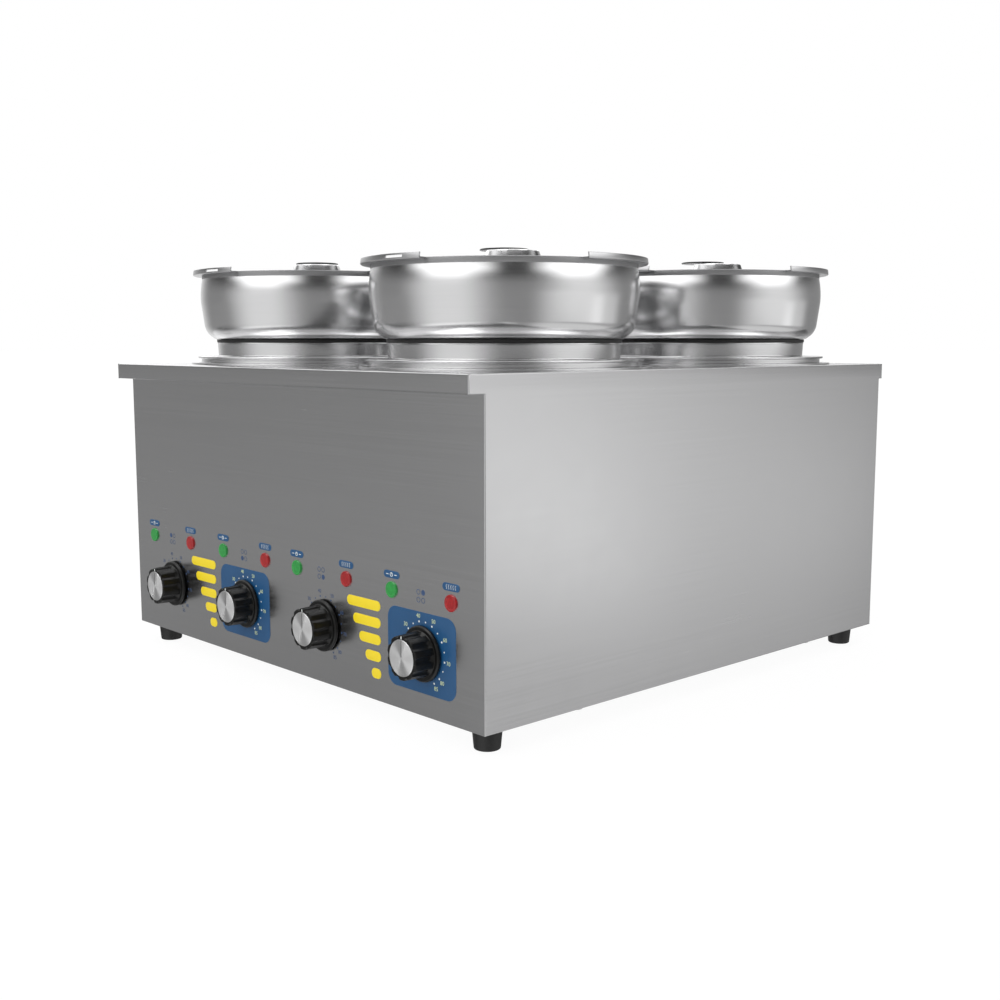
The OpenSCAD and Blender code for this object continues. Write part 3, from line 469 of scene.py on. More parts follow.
def makeSides():
    t = housing["sheet"]
    for name, side in (("left", -1), ("right", 1)):
        left, front, bottom, right, rear, top = drawingBox(f"side_panel_{name}")
        inside = max(abs(left), abs(right)) - t
        lip = top - housing["lipHeight"]
        corners = [(bodyFront, bottom), (bodyRear, bottom), (bodyRear, lip), (rear, lip), (rear, top),
                   (front, top), (front, lip), (bodyFront, lip)]
        path = [Vector((side * y, z)) for y, z in corners]
        if side < 0:
            path.reverse()
        mesh = bmesh.new()
        plate(mesh, path, t, housing["sideEdge"], inside, 5)
        turn = Matrix(((0, 0, side, 0), (side, 0, 0, 0), (0, 1, 0, 0), (0, 0, 0, 1)))
        bmesh.ops.transform(mesh, matrix=turn, verts=mesh.verts)
        sideStrip(mesh, side, inside, housing["flange"], housing["flangeInset"], bottom + t, bottom + 2 * t)
        addPiece(f"sideSheet_{name}", mesh, housingSteel, "housing",
                 nodes=[f"side_panel_{name}"])


makeDeck()
makeSides()
for node in ("front_panel", "rear_panel", "base_plate"):
    dress(node, housingSteel)
print("housing made")

# Collars: base ring, hemmed step and neck, and the black ring the pot sits on
collarShape = {"baseRadius": 113.5, "baseHeight": 1.5, "stepRadius": 105, "hemRadius": 107.8,
               "hemHeight": 1.8, "stepHeight": 7, "neckRadius": 89.8, "neckTop": 90.4, "neckHeight": 19.2,
               "sheet": 1, "sealRadius": 91, "sealInner": 88.4, "sealHeight": 2.8}


def overDeck(place, height=0):
    # A place on the deck, with the height over it in millimetres
    return place.x, place.y, deckTop + height * mm


def makeCollar(number, place):
    c = collarShape
    hemLow = c["stepHeight"] - c["hemHeight"]
    inner, bore = c["neckRadius"] - c["sheet"], c["stepRadius"] - c["sheet"]
    under = c["stepHeight"] - c["sheet"]
    path = roundedPath([
        (bore, 0), (c["baseRadius"], 0), (c["baseRadius"], c["baseHeight"], 0.2),
        (c["stepRadius"], c["baseHeight"], 0.6), (c["stepRadius"], hemLow, 0.3),
        (c["hemRadius"], hemLow, 0.8), (c["hemRadius"], c["stepHeight"], 0.8),
        (c["neckRadius"], c["stepHeight"], 1.2), (c["neckTop"] - 0.1, c["neckHeight"] - 1.4, 2),
        (c["neckTop"] + 0.2, c["neckHeight"] - 0.7, 0.3), (c["neckTop"], c["neckHeight"], 0.3),
        (inner, c["neckHeight"], 0.3), (inner, under, 0.6), (bore, under, 0.6)])
    mesh = bmesh.new()
    lathe(mesh, path, 224)
    addPiece(f"collarRing_{number}", mesh, collarSteel, "housing", overDeck(place),
             nodes=[f"collar_{number}"])


def makeSeals():
    c = collarShape
    mesh = bmesh.new()
    low = c["neckHeight"]
    top = low + c["sealHeight"]
    path = roundedPath([(c["sealInner"], low, 0.4), (c["sealRadius"], low, 0.6), (c["sealRadius"], top, 0.6),
                        (c["sealInner"], top, 0.4)])
    for spot in potSpots:
        lathe(mesh, path, 160, (*spot, 0))
    addPiece("seatSeals", mesh, sealRubber, "housing", (0, 0, deckTop), nodes=["seat_gaskets"])


for number, place in enumerate(potPlaces, 1):
    makeCollar(number, place)
makeSeals()
print("collars made")

# Pots: lower body, shoulder, flared belly and a rim band with a ledge for the lid
potShape = {"seat": 22.2, "lowRadius": 87, "depth": 133, "wall": 1, "cornerRadius": 10, "shoulderOut": 5.6,
            "shoulderIn": 3, "shoulderTilt": 52, "shoulderArc": 15.8, "flareTilt": 9.5, "bellyRadius": 104.2,
            "bellyRise": 36.5, "lowArc": 54, "topArc": 80, "rimRise": 57, "bandHeight": 4.4, "bandOut": 0.9,
            "bandThick": 2, "bandEdge": 0.6, "ledge": 3, "ledgeEdge": 0.4}
gripShape = {"angle": 115, "turn": 46.5, "inner": 0.8, "reach": 7, "lean": 0.6, "lipHeight": 4.5,
             "sheet": 1.2, "edge": 0.4, "windowWidth": 19, "windowHeight": 1.8, "windowLow": 1.3,
             "windowIn": 13.2, "cutIn": 2, "cutOut": 1.5}
lidShape = {"gap": 0.6, "lift": 0.2, "sheet": 1, "edge": 0.3, "rise": 3, "domeSteps": 14, "beadHeight": 4,
            "ventRadius": 19.5, "ventHeight": 11.3, "ventEdge": 1.2, "ventOut": 44.4, "ventTurn": -35.6,
            "ventSlope": 2 / 7.3}
lidKnobShape = {"radius": 19, "height": 11.6, "discHeight": 1.3, "rimWidth": 2.6, "dish": 0.3,
                "stemRadius": 7, "stemLow": 8.4, "footRadius": 11, "footHeight": 2, "screwRadius": 1.9,
                "screwLength": 1.6, "nutRadius": 4, "nutHeight": 2.4}

bandLow = potShape["rimRise"] - potShape["bandHeight"]
topTurn = math.degrees(math.asin((bandLow - potShape["bellyRise"]) / potShape["topArc"]))
topRadius = potShape["bellyRadius"] - potShape["topArc"] * (1 - math.cos(math.radians(topTurn)))
bandRadius = topRadius + potShape["bandOut"]
bandInner = bandRadius - potShape["bandThick"]
ledgeRadius = bandInner - potShape["ledge"]
gripTurns = (gripShape["turn"], gripShape["turn"] + 180)


def bellyPath(inset):
    p = potShape
    tilt = math.radians(p["shoulderTilt"])
    start = Vector((p["lowRadius"] + p["shoulderOut"] + p["shoulderIn"], p["shoulderIn"] / math.tan(tilt)))
    turn = p["shoulderArc"]
    centre = start + turn * Vector((-math.cos(tilt), math.sin(tilt)))
    lowCentre = (p["bellyRadius"] - p["lowArc"], p["bellyRise"])
    topCentre = (p["bellyRadius"] - p["topArc"], p["bellyRise"])
    return (arcPath(centre, turn - inset, -p["shoulderTilt"], -p["flareTilt"], 12)
            + arcPath(lowCentre, p["lowArc"] - inset, -p["flareTilt"], 0, 6)[1:]
            + arcPath(topCentre, p["topArc"] - inset, 0, topTurn, 8)[1:])


def underGrip(angle):
    # Whether a direction, in degrees round a pot, is one where a grip strip is fixed to the rim
    return abs((angle - gripShape["turn"] + 90) % 180 - 90) < gripShape["angle"] / 2


def bandRadiusAt(radius, height, angle):
    # The band stands back where the grips are fixed
    deep = bandRadius - gripShape["inner"]
    if height > bandLow - 0.01 and radius > deep and underGrip(math.degrees(angle)):
        return deep
    return radius


def makePot(number, place):
    p = potShape
    low, wall, rim, edge, fold = p["lowRadius"], p["wall"], p["rimRise"], p["bandEdge"], p["ledgeEdge"]
    floor = -p["depth"] - p["seat"]
    corner = (low - p["cornerRadius"], floor + p["cornerRadius"])
    shoulder = low + p["shoulderOut"]
    inner = low - wall
    path = [
        (0, floor), *arcPath(corner, p["cornerRadius"], -90, 0, 8), (low, -0.6), (low + 0.2, -0.2),
        (low + 0.6, 0), (shoulder - 0.8, 0), (shoulder - 0.2, 0.1), *bellyPath(0),
        (topRadius + 0.3, bandLow), (bandRadius - 0.2, bandLow + 0.15), (bandRadius, bandLow + 0.5),
        *arcPath((bandRadius - edge, rim - edge), edge, 0, 90, 4),
        *arcPath((bandInner + fold, rim - fold), fold, 90, 180, 3), (bandInner, bandLow),
        (ledgeRadius + fold, bandLow), (ledgeRadius, bandLow - fold), (ledgeRadius, bandLow - wall),
        *reversed(bellyPath(wall)), (shoulder - 0.4, wall), (inner + 0.6, wall), (inner, wall - 0.6),
        *arcPath(corner, p["cornerRadius"] - wall, 0, -90, 8), (0, floor + wall)]
    mesh = bmesh.new()
    lathe(mesh, path, 288, radiusAt=bandRadiusAt)
    pot = addPiece(f"potShell_{number}", mesh, potSteel, f"pot_{number}",
                   overDeck(place, p["seat"]), nodes=[f"pot_{number}"])
    pot.data.materials.append(bandSteel)
    for face in pot.data.polygons:   # the rolled band keeps a duller finish than the buffed belly
        middle = face.center / mm
        if middle.z > bandLow + 0.1 and middle.xy.length > bandRadius - gripShape["inner"] - 0.1:
            face.material_index = 1


def makeGrips(number, place):
    g = gripShape
    outer, inner = bandRadius + g["reach"], bandRadius - g["inner"] - 0.1
    top, lip, sheet, edge = outer - g["lean"], g["lipHeight"], g["sheet"], g["edge"]
    path = roundedPath([(inner, 0), (outer, 0, 1), (top, lip, edge), (top - sheet, lip, edge),
                        (outer - sheet, sheet, edge), (inner, sheet)])
    mesh = bmesh.new()
    for turn in gripTurns:
        lathe(mesh, path, 90, span=g["angle"], start=turn - g["angle"] / 2)
    grips = addPiece(f"gripStrips_{number}", mesh, gripSteel, f"pot_{number}",
                     overDeck(place, potShape["seat"] + potShape["rimRise"] - sheet),
                     nodes=[f"pot_grips_{number}"])
    windows = bmesh.new()
    outline = roundedRectangle(g["windowWidth"], g["windowHeight"], 0.5, steps=3)
    rise = Matrix.Translation((0, 0, g["windowLow"] + g["windowHeight"] / 2))
    for turn in gripTurns:
        angle = math.radians(turn + g["angle"] / 2 - g["windowIn"])
        stand = Matrix.Rotation(angle, 4, "Z") @ rise @ alongX
        prism(windows, outline, outer - sheet - g["cutIn"], outer + g["cutOut"], stand)
    cutAway(grips, windows)


def makeLid(number, place):
    s = lidShape
    sheet, edge = s["sheet"], s["edge"]
    lidRadius, bead = bandInner - s["gap"], ledgeRadius - s["gap"]
    domeRadius = (bead ** 2 + s["rise"] ** 2) / (2 * s["rise"])

    def domePath(up):
        radii = [bead * (1 - n / s["domeSteps"]) for n in range(s["domeSteps"] + 1)]
        return [(r, math.sqrt(domeRadius ** 2 - r ** 2) - domeRadius + s["rise"] + up) for r in radii]

    path = [(bead - sheet, -s["beadHeight"]), (bead, -s["beadHeight"]), (bead, 0), (lidRadius - edge, 0),
            (lidRadius, edge), (lidRadius, sheet - edge), (lidRadius - edge, sheet), *domePath(sheet),
            *reversed(domePath(0)[1:]), (bead - sheet, 0)]
    mesh = bmesh.new()
    lathe(mesh, path, 192)
    top, low = s["ventRadius"], s["ventRadius"] + s["ventHeight"] * s["ventSlope"]
    angle = math.radians(s["ventTurn"])
    boss = roundedPath([(0, 1), (low, 1), (low, sheet + s["ventEdge"], s["ventEdge"]),
                        (top, s["ventHeight"], s["ventEdge"]), (0, s["ventHeight"])], 5)
    lathe(mesh, boss, 96, (s["ventOut"] * math.cos(angle), s["ventOut"] * math.sin(angle), 0))
    addPiece(f"lidSheet_{number}", mesh, potSteel, f"lid_{number}",
             overDeck(place, potShape["seat"] + bandLow + s["lift"]), nodes=[f"lid_{number}"])


def makeLidKnob(number, place):
    # Black disc with a raised rim, on a bright stem that is screwed on from below
    k = lidKnobShape
    low, top, foot = k["height"] - k["discHeight"], k["height"], k["footHeight"]
    rim, dished = k["radius"] - k["rimWidth"], top - k["dish"]
    disc, stem = bmesh.new(), bmesh.new()
    lathe(disc, roundedPath([(0, low), (k["radius"], low, 0.5), (k["radius"], top, 0.5), (rim, top, 0.4),
                             (rim - 0.8, dished, 0.4), (0, dished)], 5), 128)
    lathe(stem, roundedPath([
        (0, 0), (k["footRadius"], 0), (k["footRadius"], foot, 1.2), (k["stemLow"], foot + 0.4, 0.8),
        (k["stemRadius"], low - 1, 0.8), (k["stemRadius"] + 1.2, low), (0, low)], 5), 96)
    down = -lidShape["sheet"] - k["screwLength"]
    lathe(stem, [(0, down), (k["screwRadius"], down), (k["screwRadius"], 0.5), (0, 0.5)], 24)
    prism(stem, hexagon(k["nutRadius"], 0.3), down - 1, down - 1 + k["nutHeight"])
    rise = potShape["seat"] + bandLow + lidShape["lift"] + lidShape["rise"] + lidShape["sheet"]
    spot = overDeck(place, rise)
    addPiece(f"lidKnob_{number}", disc, glossBlack, f"lid_{number}", spot,
             nodes=[f"lid_knob_{number}"])
    addPiece(f"lidStem_{number}", stem, potSteel, f"lid_{number}", spot)


for number, place in enumerate(potPlaces, 1):
    makePot(number, place)
    makeGrips(number, place)
    makeLid(number, place)
    makeLidKnob(number, place)
print("pots and lids made")

# Dial knobs: skirt, fluted grip, turned metal cap and a pointer line
knobShape = {"gap": 1.5, "skirtRadius": 20, "skirtHeight": 2.6, "recessRadius": 17.5, "recess": 1.6,
             "gripRadius": 16.4, "gripFront": 15.9, "gripLow": 0.4, "gripRows": 9, "frontEdge": 0.7,
             "depth": 18.8, "flutes": 10, "fluteRadius": 3.4, "fluteOut": 18, "fluteFade": 1.2,
             "capRadius": 13, "capHeight": 1.6, "capProud": 0.2, "capGap": 0.15, "boreRadius": 3.05,
             "boreDepth": 11, "pointerWidth": 0.9, "capLineWidth": 0.45}


def fluteRadiusAt(radius, height, angle):
    k = knobShape
    start = k["skirtHeight"] + k["gripLow"]
    if height < start or radius < k["capRadius"] + 0.4:
        return radius
    step = fullTurn / k["flutes"]
    off = (angle - math.pi / 2) % step - step / 2
    reach = k["fluteOut"] * abs(math.sin(off))
    if reach >= k["fluteRadius"]:
        return radius
    flute = k["fluteOut"] * math.cos(off) - math.sqrt(k["fluteRadius"] ** 2 - reach ** 2)
    share = (height - start) / (k["depth"] - start)
    outline = k["gripRadius"] + (k["gripFront"] - k["gripRadius"]) * share
    blend = min(1, (height - start) / k["fluteFade"])
    return radius + min(0, flute - outline) * blend * blend * (3 - 2 * blend)


def makeKnob(number, place):
    k = knobShape
    depth, front, edge, bore = k["depth"], k["gripFront"], k["frontEdge"], k["boreRadius"]
    seat = depth - k["capHeight"] + k["capProud"]
    top, start, well = seat + k["capHeight"], k["skirtHeight"] + k["gripLow"], k["capRadius"] + k["capGap"]
    path = roundedPath([
        (bore, k["recess"]), (k["recessRadius"], k["recess"]), (k["recessRadius"], 0, 0.3),
        (k["skirtRadius"], 0, 0.3), (k["skirtRadius"], k["skirtHeight"] - 1, 0.5),
        (k["skirtRadius"] - 1, k["skirtHeight"], 0.5), (k["gripRadius"] + 0.4, k["skirtHeight"], 0.3)], 3)
    for n in range(k["gripRows"]):
        share = n / (k["gripRows"] - 1)
        path.append((k["gripRadius"] + (front - k["gripRadius"]) * share,
                     start + (depth - edge - start) * share))
    path += arcPath((front - edge, depth - edge), edge, 10, 90, 4)
    path += roundedPath([(well, depth, 0.3), (well, seat), (bore, seat)], 2)[:-1]
    path += [(0, seat), (0, k["boreDepth"]), (bore, k["boreDepth"])]
    knob, cap, pointer, capLine = bmesh.new(), bmesh.new(), bmesh.new(), bmesh.new()
    lathe(knob, path, 240, radiusAt=fluteRadiusAt)
    lathe(cap, roundedPath([(0, seat), (k["capRadius"], seat), (k["capRadius"], top, 0.35), (0, top)]), 128)
    inner, outer = k["capRadius"] + 0.35, front - 0.5
    prism(pointer, roundedRectangle(k["pointerWidth"], outer - inner, 0.3, (0, (inner + outer) / 2), 3),
          depth - 0.3, depth + 0.04)
    prism(capLine, roundedRectangle(k["capLineWidth"], k["capRadius"] - 1, 0.2, (0, k["capRadius"] / 2), 3),
          top - 0.2, top + 0.02)
    spot = (place.x, frontFace - k["gap"] * mm, place.z)
    body = f"dial_{number}"
    addPiece(f"dialKnob_{number}", knob, blackPhenolic, body, spot, outOfPanel,
             [f"knob_{number}"], 40)
    addPiece(f"dialCap_{number}", cap, capAluminium, body, spot, outOfPanel,
             [f"knob_cap_{number}"])
    addPiece(f"dialPointer_{number}", pointer, whiteInk, body, spot, outOfPanel)
    addPiece(f"capLine_{number}", capLine, blackPhenolic, body, spot, outOfPanel)


for number, place in enumerate(dialPlaces, 1):
    makeKnob(number, place)
    dress(f"thermostat_shaft_{number}", screwSteel)
    dress(f"thermostat_{number}", caseResin)
print("dials made")

# Lamps with their nuts behind the panel, foils and bars
panelShape = {"dialOffset": 3, "lampApart": 64.6, "lampRise": 40.1, "labelRise": 11, "labelWidth": 17.7,
              "labelHeight": 5.4, "film": 0.3, "filmEdge": 0.12, "plateWidth": 74, "plateHeight": 58,
              "plateLeft": 3, "plateCorner": 9, "barLongest": 40, "barGap": 9, "bars": 5, "barShare": 0.6}
lampShape = {"radius": 6, "proud": 1.4, "ringWidth": 1.3, "dish": 0.35, "dome": 0.25, "bodyRadius": 4.8,
             "bodyLength": 22, "nutRadius": 7.5, "nutHeight": 1.6}


def signPlace(number):
    # The middle between a dial's two lamps, x and z in millimetres
    x, z = dialSpots[number]
    return x - panelShape["dialOffset"], z + panelShape["lampRise"]


def lampPlace(number, side):
    x, z = signPlace(number)
    return x + side * panelShape["lampApart"] / 2, z


def makeLamps(name, side, finish, node):
    s = lampShape
    radius, proud, body, length = s["radius"], s["proud"], s["bodyRadius"], s["bodyLength"]
    ring, dished = radius - s["ringWidth"], proud - s["dish"]
    lens = roundedPath([(0, 0), (radius, 0), (radius - 0.1, proud, 0.6), (ring, proud, 0.4),
                        (ring - 0.5, dished, 0.3), (0, dished + s["dome"])], 6)
    barrel = roundedPath([(0, -length), (body, -length, 0.6), (body, 0), (0, 0)])
    lenses, bodies, nuts = bmesh.new(), bmesh.new(), bmesh.new()
    base = -housing["sheet"]
    for number in range(4):
        x, z = lampPlace(number, side)
        lathe(lenses, lens, 64, (x, z, 0))
        lathe(bodies, barrel, 40, (x, z, 0))
        prism(nuts, [Vector((x, z)) + p for p in hexagon(s["nutRadius"])], base - s["nutHeight"], base)
    addToPanel(f"{name}Lenses", lenses, finish, [node])
    addToPanel(f"{name}Bodies", bodies, glandPlastic)
    addToPanel(f"{name}Nuts", nuts, screwSteel)


def addFilm(mesh, width, height, radius, middle, steps=8):
    outline = roundedRectangle(width, height, radius, middle, steps)
    plate(mesh, outline, panelShape["film"], panelShape["filmEdge"])


def makeFilms():
    p = panelShape
    plates, bars, labels = bmesh.new(), bmesh.new(), bmesh.new()
    step = p["plateHeight"] / (p["bars"] - 1 + p["barShare"])
    height = step * p["barShare"]
    for across, up in (dialSpots[1], dialSpots[3]):
        x = across - p["plateLeft"]
        addFilm(plates, p["plateWidth"], p["plateHeight"], p["plateCorner"], (x, up), 10)
        right = x - p["plateWidth"] / 2 - p["barGap"]
        for n in range(p["bars"]):
            length = p["barLongest"] * (n + 1.5) / (p["bars"] + 0.5)
            middle = (right - length / 2, up + (n - (p["bars"] - 1) / 2) * step)
            addFilm(bars, length, height, height / 2 - 0.01, middle)
    for number in range(4):
        for side in (-1, 1):
            x, z = lampPlace(number, side)
            addFilm(labels, p["labelWidth"], p["labelHeight"], p["labelHeight"] / 2 - 0.01,
                    (x, z + p["labelRise"]))
    addToPanel("bluePlates", plates, blueFilm, ["dial_plates"])
    addToPanel("yellowBars", bars, yellowFilm, ["accent_bars"])
    addToPanel("lampLabels", labels, blueFilm, ["lamp_labels"])


makeLamps("power", -1, greenLens, "power_lamps")
makeLamps("heat", 1, redLens, "heat_lamps")
makeFilms()
print("panel made")

# Marks in ink, a twentieth of a millimetre proud: dial scales, place signs and lamp signs
inkShape = {"proud": 0.05, "numberRadius": 26.5, "dotRadius": 22.5, "dotSize": 0.75, "smallDot": 0.8,
            "numberSize": 4.2, "firstAngle": -48, "angleStep": 18, "dots": 12, "offAngle": -95,
            "offRing": (1.5, 1.0), "numbers": {30: -48, 40: -12, 50: 24, 60: 60, 70: 96, 80: 132, 85: 150}}
signShape = {"placeOut": 2.0, "placeIn": 1.55, "placeAcross": 2.6, "placeUp": 2.8, "powerOut": 1.6,
             "powerIn": 1.15, "powerBar": 1.4, "dash": (3.4, 5.8), "stroke": 0.45, "waves": 5,
             "waveApart": 2.3, "waveSwing": 0.45, "waveLow": 1.5, "waveStep": 0.6, "waveStroke": 0.42}


def drawDisc(mesh, x, z, outer, inner, base, steps=24):
    low, top = base - inkShape["proud"], base + inkShape["proud"]
    lathe(mesh, [(inner, low), (outer, low), (outer, top), (inner, top)], steps, (x, z, 0))


def drawStroke(mesh, start, stop, width, base):
    # A straight stroke with round ends between two points
    a, b = Vector(start), Vector(stop)
    along = b - a
    path = roundedRectangle(along.length + width, width, width / 2 - 0.01, steps=4)
    turn = Matrix.Translation((*((a + b) / 2), 0)) @ Matrix.Rotation(math.atan2(along.y, along.x), 4, "Z")
    prism(mesh, path, base - inkShape["proud"], base + inkShape["proud"], turn)


def drawNumber(mesh, text, x, z, size, base):
    curve = bpy.data.curves.new("number", "FONT")
    curve.body = text
    curve.size = size
    curve.align_x = "CENTER"
    curve.align_y = "CENTER"
    curve.extrude = inkShape["proud"]
    curve.resolution_u = 3
    shape = link(bpy.data.objects.new("number", curve))
    bpy.context.view_layer.update()
    data = bpy.data.meshes.new_from_object(shape.evaluated_get(bpy.context.evaluated_depsgraph_get()))
    data.transform(Matrix.Translation((x, z, base)))
    mesh.from_mesh(data)
    bpy.data.objects.remove(shape)
    bpy.data.meshes.remove(data)
    bpy.data.curves.remove(curve)


def drawScale(number, onPlate):
    s = inkShape
    base = panelShape["film"] if onPlate else 0
    x, z = dialSpots[number]
    numbers, dots = bmesh.new(), bmesh.new()

    def around(turn, radius):
        angle = math.radians(90 - turn)
        return x + math.cos(angle) * radius, z + math.sin(angle) * radius

    for turn in [s["firstAngle"] + s["angleStep"] * n for n in range(s["dots"])]:
        size = s["dotSize"] * (1 if turn in s["numbers"].values() else s["smallDot"])
        drawDisc(dots, *around(turn, s["dotRadius"]), size, 0, base, 14)
    for value, turn in s["numbers"].items():
        drawNumber(numbers, str(value), *around(turn, s["numberRadius"]), s["numberSize"], base)
    drawDisc(numbers, *around(s["offAngle"], s["numberRadius"]), *s["offRing"], base)
    addToPanel(f"scaleNumbers_{number + 1}", numbers, numberInk if onPlate else blueInk)
    addToPanel(f"scaleDots_{number + 1}", dots, whiteInk if onPlate else blueInk)


def drawPlaceSigns():
    # Four rings between each pair of lamps; the filled one is the pot that the dial heats
    s = signShape
    mesh = bmesh.new()
    for number, heated in enumerate([(-1, 1), (-1, -1), (1, -1), (1, 1)]):
        x, z = signPlace(number)
        for side in (-1, 1):
            for row in (-1, 1):
                inner = 0 if (side, row) == heated else s["placeIn"]
                drawDisc(mesh, x + side * s["placeAcross"], z + row * s["placeUp"], s["placeOut"], inner, 0)
    addToPanel("placeSigns", mesh, blueInk)


def drawLampSigns():
    # A circle with a bar between two dashes for power, five rising waves for heat
    s = signShape
    mesh = bmesh.new()
    base = panelShape["film"]
    for number in range(4):
        x, z = lampPlace(number, -1)
        z += panelShape["labelRise"]
        drawDisc(mesh, x, z, s["powerOut"], s["powerIn"], base)
        drawStroke(mesh, (x, z), (x, z + s["powerBar"]), s["stroke"], base)
        for way in (-1, 1):
            start, stop = [x + way * reach for reach in s["dash"]]
            drawStroke(mesh, (start, z), (stop, z), s["stroke"], base)
        x = lampPlace(number, 1)[0]
        for n in range(s["waves"]):
            middle = x + (n - (s["waves"] - 1) / 2) * s["waveApart"]
            points = [(middle + s["waveSwing"] * math.sin(k * math.pi / 2),
                       z - s["waveLow"] + k * s["waveStep"]) for k in range(6)]
            for a, b in zip(points, points[1:]):
                drawStroke(mesh, a, b, s["waveStroke"], base)
    addToPanel("lampSigns", mesh, whiteInk)


for number in range(4):
    drawScale(number, number in (1, 3))
drawPlaceSigns()
drawLampSigns()
print("marks printed")

# Feet, works and rear fittings
footShape = {"topRadius": 11, "floorRadius": 9.4, "height": 17, "recessRadius": 4.6, "recess": 8, "bore": 2.1,
             "x": 220, "y": 223}


def makeFeet():
    f = footShape
    mesh = bmesh.new()
    path = roundedPath([
        (f["recessRadius"], 0, 0.4), (f["floorRadius"], 0, 1.2), (f["topRadius"], f["height"], 0.8),
        (f["bore"], f["height"]), (f["bore"], f["recess"]), (f["recessRadius"], f["recess"], 0.4)], 5)
    for x in (-1, 1):
        for y in (-1, 1):
            lathe(mesh, path, 64, (x * f["x"], y * f["y"], 0))
    addPiece("rubberFeet", mesh, footRubber, "housing", nodes=["feet"])


makeFeet()
fittings = {"heaters": elementSteel, "heater_clamps": screwSteel, "sensor_bulbs": tubeCopper,
            "capillary_tubes": tubeCopper, "fasteners": screwSteel, "cable_gland": glandPlastic,
            "terminal_block": terminalPlastic} | {f"well_{n}": wellSteel for n in range(1, 5)}
for node, finish in fittings.items():
    dress(node, finish)
print("fittings made")

# Studio: even light for matt surfaces, soft boxes for what the steel mirrors, white all round
studio = {"base": 0.29, "ambient": 0.8, "floorHalf": 30, "floorGlow": 0.9, "floorLevel": 1.04}
studioLamps = {"key": {"power": 0.9, "turn": (50, 0, 20), "angle": 60},
               "fill": {"power": 0.5, "turn": (60, 0, -60), "angle": 90}}
# What the steel sees, each box laid over the ones before, angles in degrees:
# azimuth, half its width, softness of its sides, from and to elevation, softness of these edges, level
mirrored = [
    (24.5, 27.5, 22, -95, 16, 6, 0.92),
    (148, 26, 22, -95, 16, 6, 0.92),
    (268, 30, 21, -95, 16, 6, 0.92),
    (20, 24, 22, -16, -5, 7, 1.0),
    (43, 6, 5, -18, -8, 5, 1.3),
    (60, 8, 6, -16, -5, 7, 0.82),
    (40, 40, 10, -26, -17.5, 4, 0.45),
    (30, 45, 15, -95, -26, 4, 0.8),
    (280, 42, 10, -95, -26, 4, 1.3),
    (210, 16, 8, -12, -5.5, 3, 0.33),
    (208, 16, 8, -30, -15, 2.5, 0.23),
    (0, 400, 1, 10, 28, 6, 0.05),
    (22, 22, 14, 10.5, 26, 4, 2.0),
    (148, 28, 14, 10.5, 26, 4, 2.0),
    (268, 22, 14, 10.5, 26, 4, 2.0),
    (22, 36, 12, 16.5, 26, 4, 2.0),
    (148, 44, 12, 16.5, 26, 4, 2.0),
    (268, 38, 12, 16.5, 26, 4, 2.0),
    (0, 400, 1, 29, 47, 3, 0.05),
    (104, 42, 34, 29, 47, 3, 1.3),
    (196, 46, 40, 29, 47, 3, 1.5),
    (0, 400, 1, 50, 95, 4, 0.9),
    (36, 30, 28, 51, 67, 4, 4.0),
    (148, 42, 28, 51, 67, 4, 4.0),
    (250, 31, 12, 49, 67, 2.5, 5.0),
    (0, 400, 1, 80, 95, 8, 1.1),
]


def fade(tree, value, start, stop):
    # 0 up to start, 1 from stop on
    edges = {"Value": value, "From Min": math.radians(start), "From Max": math.radians(stop)}
    return addNode(tree, "ShaderNodeMapRange", edges, interpolation_type="SMOOTHSTEP").outputs[0]


def blend(tree, factor, first, second):
    return addNode(tree, "ShaderNodeMix", {"Factor": factor, "A": first, "B": second},
                   data_type="FLOAT").outputs["Result"]


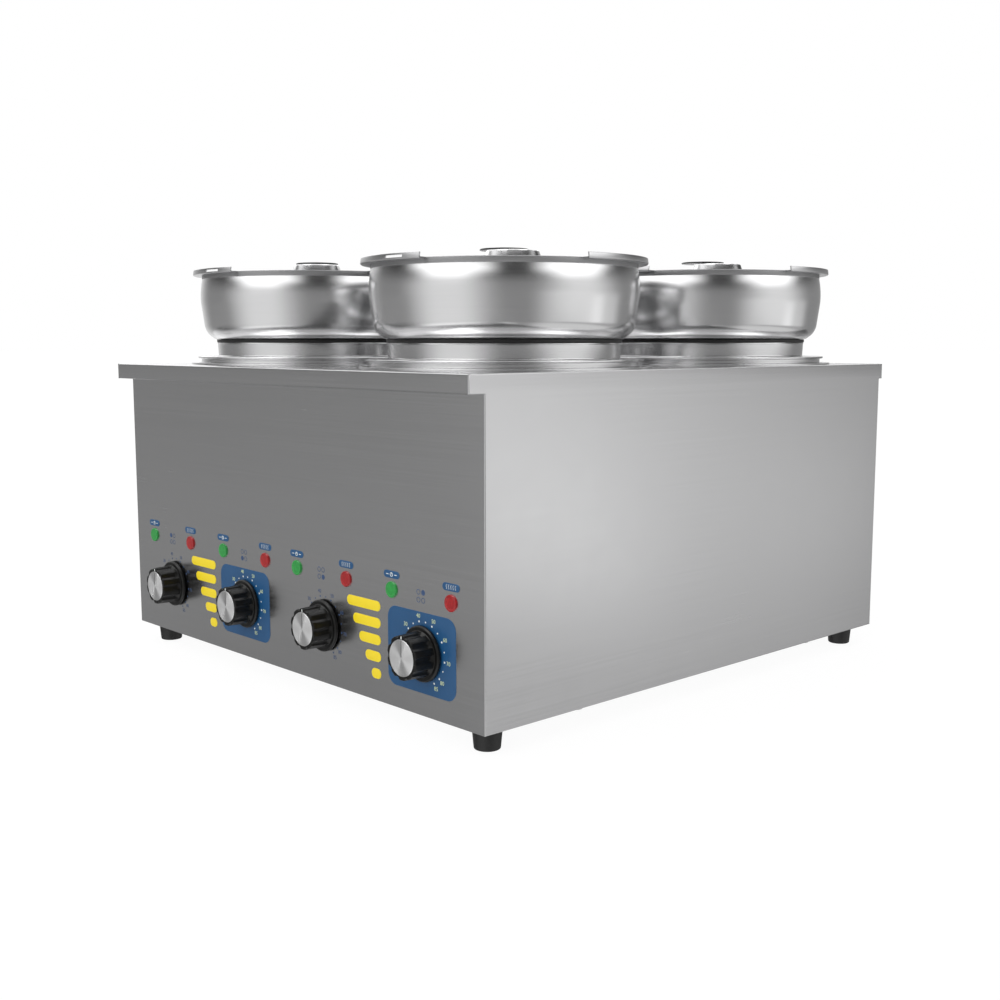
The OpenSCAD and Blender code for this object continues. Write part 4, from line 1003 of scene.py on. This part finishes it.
def makeWorld():
    world = bpy.data.worlds.new("studio")
    bpy.context.scene.world = world
    world.use_nodes = True
    tree = world.node_tree
    tree.nodes.clear()
    direction = addNode(tree, "ShaderNodeTexCoord").outputs["Generated"]
    up = reckon(tree, "ARCSINE", addNode(tree, "ShaderNodeSeparateXYZ", {"Vector": direction}).outputs["Z"])
    level = studio["base"]
    for azimuth, half, soft, low, high, edge, boxLevel in mirrored:
        turned = addNode(tree, "ShaderNodeVectorRotate",
                         {"Vector": direction, "Angle": -math.radians(azimuth)},
                         rotation_type="Z_AXIS").outputs[0]
        split = addNode(tree, "ShaderNodeSeparateXYZ", {"Vector": turned}).outputs
        off = reckon(tree, "ABSOLUTE", reckon(tree, "ARCTAN2", split["Y"], split["X"]))
        across = fade(tree, off, half + soft, half - soft)
        upwards = reckon(tree, "MULTIPLY", fade(tree, up, low - edge, low + edge),
                         fade(tree, up, high + edge, high - edge))
        level = blend(tree, reckon(tree, "MULTIPLY", upwards, across), level, boxLevel)
    light = addNode(tree, "ShaderNodeLightPath").outputs
    seen = reckon(tree, "MAXIMUM", light["Is Camera Ray"], light["Is Transmission Ray"])
    unseen = blend(tree, light["Is Glossy Ray"], studio["ambient"], level)
    background = addNode(tree, "ShaderNodeBackground", {"Color": (1, 1, 1, 1),
                                                        "Strength": blend(tree, seen, unseen, 1.0)})
    addNode(tree, "ShaderNodeOutputWorld", {"Surface": background.outputs[0]})


def makeFloor():
    mesh = bpy.data.meshes.new("floor")
    half = studio["floorHalf"]
    mesh.from_pydata([(-half, -half, 0), (half, -half, 0), (half, half, 0), (-half, half, 0)], [],
                     [(0, 1, 2, 3)])
    floor = link(bpy.data.objects.new("floor", mesh))
    finish = bpy.data.materials.new("paleFloor")
    finish.use_nodes = True
    tree = finish.node_tree
    tree.nodes.clear()
    matt = addNode(tree, "ShaderNodeBsdfDiffuse", {"Color": (0.8, 0.8, 0.8, 1)}).outputs[0]
    glow = addNode(tree, "ShaderNodeEmission", {"Color": (1, 1, 1, 1),
                                                "Strength": studio["floorLevel"]}).outputs[0]
    clear = addNode(tree, "ShaderNodeBsdfTransparent").outputs[0]
    light = addNode(tree, "ShaderNodeLightPath").outputs
    share = reckon(tree, "MULTIPLY", light["Is Camera Ray"], studio["floorGlow"])
    lit = addNode(tree, "ShaderNodeMixShader", {0: share, 1: matt, 2: glow}).outputs[0]
    mixed = addNode(tree, "ShaderNodeMixShader", {0: light["Is Glossy Ray"], 1: lit, 2: clear}).outputs[0]
    addNode(tree, "ShaderNodeOutputMaterial", {"Surface": mixed})
    mesh.materials.append(finish)


def addLamp(name, look):
    lamp = bpy.data.lights.new(name, "SUN")
    lamp.energy = look["power"]
    lamp.angle = math.radians(look["angle"])
    lampObject = link(bpy.data.objects.new(name, lamp))
    lampObject.rotation_euler = [math.radians(a) for a in look["turn"]]
    lampObject.visible_glossy = False


makeWorld()
makeFloor()
for name, look in studioLamps.items():
    addLamp(name, look)
bpy.context.scene.view_settings.view_transform = "Standard"
print("studio made")
